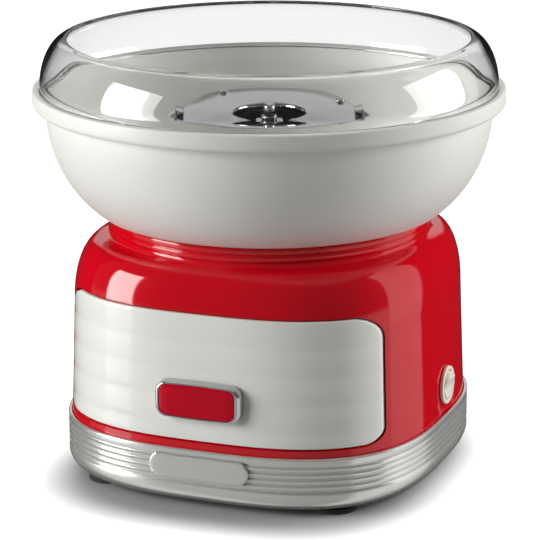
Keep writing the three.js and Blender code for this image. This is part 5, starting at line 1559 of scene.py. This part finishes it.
# %% Clips at the edge of the head
HEAD_TURN = math.radians(22)
CLIP_HALF_W = 6.5
CLIP_UNDER = 5
CLIP_OVER = 4
clip_r = HEAD_R + FIT
clip_outline = [
    (clip_r - CLIP_UNDER, under - 1.2, 0.4), (clip_r + 1.4, under - 1.2, 1.2),
    (clip_r + 2.2, over - 4, 1.5), (clip_r + 1.4, over + 2.4, 0.8),
    (clip_r - CLIP_OVER, over + 1.2, 0.5), (clip_r - CLIP_OVER, over, 0.3),
    (clip_r, over, 0.3), (clip_r, under, 0.3), (clip_r - CLIP_UNDER, under, 0.3),
]
for i, turn in enumerate((HEAD_TURN, HEAD_TURN + math.pi)):
    clip = eased_prism(f"spring_clip_{i + 1}", clip_outline, CLIP_HALF_W, turn)
    settle(clip, "badge_chrome", "head", f"head_clip_{i + 1}")

# %% The hub on the shaft
SHAFT_TOP = 213.5
SHAFT_BORE = 3.3
PIN_Z = 207.2
HUB_R = 6.6
HUB_FLANGE_R = 12
STUD_R = 2.2
NUT_TOP = 234.2
hub_low = PIN_Z - 1.8
hub_top = SHAFT_TOP + 2.7
stud_top = NUT_TOP - 3
seat = pan_top + FIT
hub = turned("head_hub_turned", [
    (0, SHAFT_TOP + FIT), (SHAFT_BORE, SHAFT_TOP + FIT), (SHAFT_BORE, hub_low, 0.3),
    (HUB_R, hub_low, 0.5), (HUB_R, seat, 0.2), (HUB_FLANGE_R, seat, 0.5),
    (HUB_FLANGE_R, seat + 1.6, 0.5), (HUB_R, seat + 2, 0.6), (HUB_R, hub_top, 0.8),
    (STUD_R, hub_top, 0.2), (STUD_R, stud_top, 0.5), (0, stud_top),
], 64)
cut(hub, block("pin_slot", (-8, 8), (-1.5, 1.5), (PIN_Z - 4, PIN_Z + 1.5), 0.05))
settle(hub, "shaft_steel", "head", "head_hub")

# %% The wing nut and the cap nut
WING_REACH = 9.2
WING_HEIGHT = 10.2
WING_HALF_THICK = 2.6
NUT_R = 4.2
WASHER_R = 5
NUT_BORE = 2.5
CAP_R = 3.7
wing_low = hub_top + FIT
shoulder = wing_low + WING_HEIGHT
wing_top = shoulder + 1.3
wings = eased_prism("wings", [
    (-WING_REACH, wing_low, 1.6), (-4.0, wing_low + 0.5, 1.5), (4.0, wing_low + 0.5, 1.5),
    (WING_REACH, wing_low, 1.6), (WING_REACH, shoulder, 3.4), (NUT_R, shoulder - 0.3, 2.0),
    (-NUT_R, shoulder - 0.3, 2.0), (-WING_REACH, shoulder, 3.4),
], WING_HALF_THICK, HEAD_TURN)
barrel = [(0, wing_low), (NUT_R, wing_low, 0.4), (NUT_R, shoulder + 0.5), (0, shoulder + 0.5)]
washer = [(0, shoulder + 0.2), (WASHER_R, shoulder + 0.2, 0.3), (WASHER_R, wing_top, 0.4),
          (0, wing_top)]
for outline in (barrel, washer):
    combine(wings, peg("part", 0, 0, eased(outline)), "UNION")
drill(wings, 0, 0, NUT_BORE, wing_low - 1, wing_top + 1)
wings.name = "wing_nut_cast"
settle(wings, "wing_steel", "head", "wing_nut")

cap_low = wing_top + FIT
cap = turned("cap_nut_turned", [
    (0, stud_top + FIT), (NUT_BORE, stud_top + FIT), (NUT_BORE, cap_low, 0.2),
    (CAP_R, cap_low, 0.3), (CAP_R, NUT_TOP, 1.8), (0, NUT_TOP),
], 48)
settle(cap, "wing_steel", "head", "cap_nut")

# %% [markdown]
# ## The heater under the head
# A fixed tower rises from the deck into the chimney and carries a dish with a tubular heating
# element. The spinner turns just above it. Little of it shows past the head, but the lifted head
# uncovers it, so it is made as finely as the rest.

# %% The tower and the dish
TOWER_TOP = 197
TOWER_R = 57
TOWER_WALL = 2.4
TOWER_FOOT_R = 68
TOWER_FOOT_THICK = 2.6
TOWER_HOLE_R = 10.3
TOWER_SCREWS = round_the_axis(63.8, 90, 210, 330)
TOWER_STEPS = 160
DISH_TOP = 221
DISH_OUT_R = 63
DISH_HOLE_R = 14
ELEMENT_R = 42
ELEMENT_Z = 204.8
LEG_X = 11
LEG_HOLE_R = 4.2
element_y = math.sqrt(ELEMENT_R ** 2 - LEG_X ** 2)
tower_low = DECK_TOP + FIT
foot_top = tower_low + TOWER_FOOT_THICK
tower_bore, tower_roof = TOWER_R - TOWER_WALL, TOWER_TOP - TOWER_WALL
tower = turned("heater_tower_drawn", [
    (tower_bore, tower_low, 0.4), (TOWER_FOOT_R, tower_low, 0.6), (TOWER_FOOT_R, foot_top, 0.8),
    (TOWER_R, foot_top, 2.4), (TOWER_R, TOWER_TOP, 2.4), (TOWER_HOLE_R, TOWER_TOP, 0.3),
    (TOWER_HOLE_R, tower_roof, 0.3), (tower_bore, tower_roof, 1.0),
], TOWER_STEPS)
for x, y in TOWER_SCREWS:
    drill(tower, x, y, SCREW_HOLE_R, tower_low - 1, tower_low + 4)
dish_low = TOWER_TOP + FIT
heat_dish = turned("heater_dish_drawn", [
    (DISH_HOLE_R, dish_low, 0.3), (DISH_OUT_R, dish_low, 2.4), (DISH_OUT_R, DISH_TOP, 0.4),
    (DISH_OUT_R - SHEET, DISH_TOP, 0.4), (DISH_OUT_R - SHEET, dish_low + SHEET, 1.6),
    (DISH_HOLE_R, dish_low + SHEET, 0.3),
], TOWER_STEPS)
for x in (-LEG_X, LEG_X):
    drill(tower, x, element_y, LEG_HOLE_R, TOWER_TOP - 5, TOWER_TOP + 3)
    drill(heat_dish, x, element_y, LEG_HOLE_R, TOWER_TOP - 5, TOWER_TOP + 3)
settle(tower, "black_plastic", "body", "heater_tower")
settle(heat_dish, "sheet_steel", "body", "heater_dish")


# %% The heating element


def rod(name, path, radius, sides=20):
    """Round rod along a path of points, closed at both ends."""
    path = [np.array(p, float) for p in path]
    corners, faces = [], []
    side = np.array([1.0, 0, 0])
    for i, here in enumerate(path):
        along = path[min(i + 1, len(path) - 1)] - path[max(i - 1, 0)]
        along = along / np.linalg.norm(along)
        side = side - along * side.dot(along)
        side = side / np.linalg.norm(side)
        other = np.cross(along, side)
        for k in range(sides):
            a = 2 * math.pi * k / sides
            corners.append(tuple(here + radius * (math.cos(a) * side + math.sin(a) * other)))
    for i in range(len(path) - 1):
        a, b = i * sides, (i + 1) * sides
        faces += [(a + k, a + (k + 1) % sides, b + (k + 1) % sides, b + k) for k in range(sides)]
    faces.append(tuple(range(sides)))
    faces.append(tuple(range(len(corners) - sides, len(corners))))
    return make_piece(name, corners, faces)


ELEMENT_ROWS = 96
ELEMENT_TUBE = 3.4
LEG_LOW = TOWER_TOP - 11
KNEE_LOW = ELEMENT_Z - 5
KNEE_POINTS = 8
gap = math.asin(LEG_X / ELEMENT_R)
ring_path = []
for k in range(ELEMENT_ROWS + 1):
    angle = math.pi / 2 - gap - (2 * math.pi - 2 * gap) * k / ELEMENT_ROWS
    ring_path.append((ELEMENT_R * math.cos(angle), ELEMENT_R * math.sin(angle), ELEMENT_Z))
legs = []
for x, ring_end in ((LEG_X, ring_path[KNEE_POINTS - 1]), (-LEG_X, ring_path[-KNEE_POINTS])):
    foot, mouth, knee, bend, start = (
        (x, element_y, LEG_LOW), (x, element_y, TOWER_TOP), (x, element_y, KNEE_LOW),
        (x, element_y, ELEMENT_Z), (x * 1.25, element_y, ELEMENT_Z),
    )
    legs.append([foot, mouth] + bezier(knee, bend, start, ring_end, 12))
element_path = legs[0] + ring_path[KNEE_POINTS:-KNEE_POINTS] + legs[1][::-1]
settle(rod("heating_element_tube", element_path, ELEMENT_TUBE), "element_steel", "body",
       "heating_element")

# %% [markdown]
# ## Pieces taken over from the CAD model
# The motor, its bracket, the electrics in the base and the screws hardly show, so their CAD
# meshes are used as they are. Each takes the finish of its own slot.

# %% Finish the CAD nodes that stay
kept = 0
for name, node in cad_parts.items():
    if node.hide_render:
        continue
    for slot in node.material_slots:
        if slot.material and slot.material.name.split(".")[0] in finishes:
            slot.material = finishes[slot.material.name.split(".")[0]]
    kept += 1
    print("kept", name, [slot.material.name for slot in node.material_slots])
print(kept, "CAD nodes kept")

# %% [markdown]
# ## Floor, surroundings and lamps
# The photograph is a cut-out on white with a soft shadow. The floor is plain and pale, and it glows
# for the camera away from the machine until it is white. Near the machine the glow is held back,
# which paints a shadow round the base, shifted towards the front, over the lamps' real shadow.
# Reflections see soft boxes to the left and to the right and a pale wall behind, which are drawn
# into the surroundings by direction.
# Directions are given in degrees: a heading, from the front round to the right, and a height.

# %% The floor
FLOOR_SHADE = (0.42, 0.42, 0.42, 1)
# The shifts and the two reaches below shape a painted shadow: the floor's glow is held back near
# the machine, more towards the front.
FLOOR_SHADOW_SHIFTS = ((1.06, -0.0025), (1.0, 0.02))
FLOOR_SHADOW_CORE = 0.108
FLOOR_SHADOW_EDGE = 0.156
FLOOR_GLOW = 1.1
FLOOR_R = 5
FLOOR_STEP = 5


def smooth(tree, value, low, high, first=0.0, last=1.0):
    """Eased ramp from first to last while the value runs from low to high."""
    return put(tree, "ShaderNodeMapRange", {
        "Value": value, "From Min": low, "From Max": high, "To Min": first, "To Max": last,
    }, interpolation_type="SMOOTHSTEP").outputs[0]


def floor_finish():
    """Pale floor that glows outside the machine's squared plan, for the camera alone; where the
    glow is held back it paints the shadow round the machine.
    """
    finish, tree, shader = start_finish(
        "studio_floor", Base_Color=FLOOR_SHADE, Roughness=0.9, Specular_IOR_Level=0.0,
    )
    place = put(tree, "ShaderNodeNewGeometry").outputs["Position"]
    x, y, _ = put(tree, "ShaderNodeSeparateXYZ", {0: place}).outputs
    far = []
    for way, (scale, shift) in zip((x, y), FLOOR_SHADOW_SHIFTS):
        away = calc(tree, "ABSOLUTE", calc(tree, "MULTIPLY_ADD", way, scale, shift))
        far.append(calc(tree, "POWER", away, SQUARENESS))
    reach = calc(tree, "POWER", calc(tree, "ADD", *far), 1 / SQUARENESS)
    rays = put(tree, "ShaderNodeLightPath").outputs
    seen = calc(tree, "MAXIMUM", rays["Is Camera Ray"], rays["Is Transmission Ray"])
    # Painted shadow: no glow near the machine's plan, rising to full glow further out.
    bright = smooth(tree, reach, FLOOR_SHADOW_CORE, FLOOR_SHADOW_EDGE, 0.0, FLOOR_GLOW)
    glow = calc(tree, "MULTIPLY", bright, seen)
    light = put(tree, "ShaderNodeEmission", {"Strength": glow})
    both = put(tree, "ShaderNodeAddShader", {0: shader.outputs[0], 1: light.outputs[0]})
    through = put(tree, "ShaderNodeBsdfTransparent")
    done = put(tree, "ShaderNodeMixShader", {
        0: rays["Is Glossy Ray"], 1: both.outputs[0], 2: through.outputs[0],
    })
    tree.links.new(done.outputs[0], tree.nodes["Material Output"].inputs["Surface"])
    return finish


edge = [math.radians(turn) for turn in range(0, 360, FLOOR_STEP)]
floor_mesh = bpy.data.meshes.new("studio_floor")
floor_mesh.from_pydata([(FLOOR_R * math.cos(turn), FLOOR_R * math.sin(turn), 0) for turn in edge],
                       [], [tuple(range(len(edge)))])
floor_piece = bpy.data.objects.new("studio_floor", floor_mesh)
floor_mesh.materials.append(floor_finish())
bpy.context.scene.collection.objects.link(floor_piece)
print("the floor is white from", round(FLOOR_SHADOW_EDGE / MM), "mm off the axis")

# %% Light and arithmetic by direction
def times(tree, *values):
    """Product of sockets or numbers."""
    made = values[0]
    for value in values[1:]:
        made = calc(tree, "MULTIPLY", made, value)
    return made


def plus(tree, *values):
    """Sum of sockets or numbers."""
    made = values[0]
    for value in values[1:]:
        made = calc(tree, "ADD", made, value)
    return made


def band(tree, value, low, high, soft):
    """1 between low and high and 0 outside, with soft edges."""
    up = smooth(tree, value, low - soft, low + soft)
    return times(tree, up, smooth(tree, value, high - soft, high + soft, 1.0, 0.0))


def direction(tree):
    """Heading and height in degrees of the direction that a ray looks in."""
    way = put(tree, "ShaderNodeTexCoord").outputs["Generated"]
    x, y, z = put(tree, "ShaderNodeSeparateXYZ", {0: way}).outputs
    heading = calc(tree, "ARCTAN2", x, times(tree, y, -1.0))
    degree = 180 / math.pi
    return times(tree, heading, degree), times(tree, calc(tree, "ARCSINE", z), degree)


print("a ray to the right has the heading", round(math.degrees(math.atan2(1, 0))))

# %% What reflections see
LEFT_BOX, LEFT_HEIGHTS = (-68, -45, 1.0), (-20, 28, 1.0)
LEFT_DIM, LEFT_GLOW, LEFT_LOW_GLOW = (-7, -5), 12.5, 2.3
RIGHT_BOX, RIGHT_HEIGHTS = (109, 147, 1.0), (-40, 45, 2.0)
RIGHT_GLOW, RIGHT_FADE, RIGHT_LOW_FADE = 1.05, (105, 150, 1.25, 0.6), (-24, -6, 0.6, 1.0)
OPEN_SIDES, BACK_HEIGHTS, BACK_GLOW = (-140, 172, 3.0), (6, 14), 0.75
LOW_HEIGHTS = (2, -5)
LOW_SIDES = (((64, 109, 4.0), 0.45), ((-76, -36, 4.0), 0.35))
FRONT, FRONT_LOW_GLOW, FRONT_GLOW, ROOM_GLOW = (-90, 147, 1.0), 0.42, 0.09, 0.02
OVERHEAD = (46, 62, 0.0, 0.3)


def reflected_studio(tree):
    """Brightness of the studio in each direction, as a reflection shows it."""
    heading, height = direction(tree)
    left = smooth(tree, height, *LEFT_DIM, LEFT_LOW_GLOW, LEFT_GLOW)
    left = times(tree, left, band(tree, height, *LEFT_HEIGHTS), band(tree, heading, *LEFT_BOX))
    wide = times(tree, band(tree, heading, *RIGHT_BOX), band(tree, height, *RIGHT_HEIGHTS))
    wide = times(tree, wide, smooth(tree, heading, *RIGHT_FADE))
    wide = times(tree, wide, smooth(tree, height, *RIGHT_LOW_FADE))
    back = calc(tree, "SUBTRACT", 1.0, band(tree, heading, *OPEN_SIDES))
    back = times(tree, back, smooth(tree, height, *BACK_HEIGHTS))
    facing = band(tree, heading, *FRONT)
    sides = [times(tree, band(tree, heading, *side), glow) for side, glow in LOW_SIDES]
    low_side = plus(tree, *sides, times(tree, facing, FRONT_LOW_GLOW))
    below = times(tree, smooth(tree, height, *LOW_HEIGHTS), low_side)
    glint = plus(tree, left, times(tree, wide, RIGHT_GLOW), times(tree, back, BACK_GLOW),
                 calc(tree, "MULTIPLY_ADD", facing, FRONT_GLOW, ROOM_GLOW),
                 smooth(tree, height, *OVERHEAD))
    return calc(tree, "MAXIMUM", glint, below)


print("the left box spans", LEFT_BOX[1] - LEFT_BOX[0], "degrees, the right one",
      RIGHT_BOX[1] - RIGHT_BOX[0])

# %% The surroundings
AMBIENT = 0.04


def make_world():
    """White for the camera and through the guard, the studio in reflections, dim for the rest."""
    world = bpy.data.worlds.new("studio")
    bpy.context.scene.world = world
    world.use_nodes = True
    tree = world.node_tree
    glint = reflected_studio(tree)
    rays = put(tree, "ShaderNodeLightPath").outputs
    seen = calc(tree, "MAXIMUM", rays["Is Camera Ray"], rays["Is Transmission Ray"])
    mirrored = calc(tree, "MAXIMUM", rays["Is Glossy Ray"], rays["Is Transmission Ray"])
    mirrored = times(tree, mirrored, calc(tree, "MINIMUM", rays["Glossy Depth"], 1.0))
    seen = times(tree, seen, calc(tree, "SUBTRACT", 1.0, mirrored))
    other = calc(tree, "SUBTRACT", 1.0, calc(tree, "MAXIMUM", seen, mirrored))
    strength = plus(tree, times(tree, mirrored, glint), times(tree, other, AMBIENT), seen)
    tree.links.new(strength, tree.nodes["Background"].inputs["Strength"])
    tree.nodes["Background"].inputs["Color"].default_value = (1, 1, 1, 1)
    return world


print("surroundings:", len(make_world().node_tree.nodes), "nodes")

# %% The lamps
AIM = Vector((0, 0, 0.13))


def soft_lamp(name, heading, distance, height, size, power):
    """Square lamp aimed at the machine's middle. Lengths are in metres and the power in watts."""
    lamp = bpy.data.objects.new(name, bpy.data.lights.new(name, "AREA"))
    lamp.data.size = size
    lamp.data.energy = power
    lamp.visible_glossy = False
    lamp.visible_camera = False
    a = math.radians(heading)
    lamp.location = (math.sin(a) * distance, -math.cos(a) * distance, height)
    lamp.rotation_euler = (AIM - lamp.location).to_track_quat("-Z", "Y").to_euler()
    bpy.context.scene.collection.objects.link(lamp)
    print(f"{name}: {power} W at", [round(c, 2) for c in lamp.location])
    return lamp


lamps = [
    soft_lamp("left_box", -51, 1.6, 0.6, 0.9, 27.5),
    soft_lamp("right_box", 114, 1.6, 0.6, 1.0, 28),
    soft_lamp("top_box", 180, 0.3, 1.9, 1.4, 7),
]
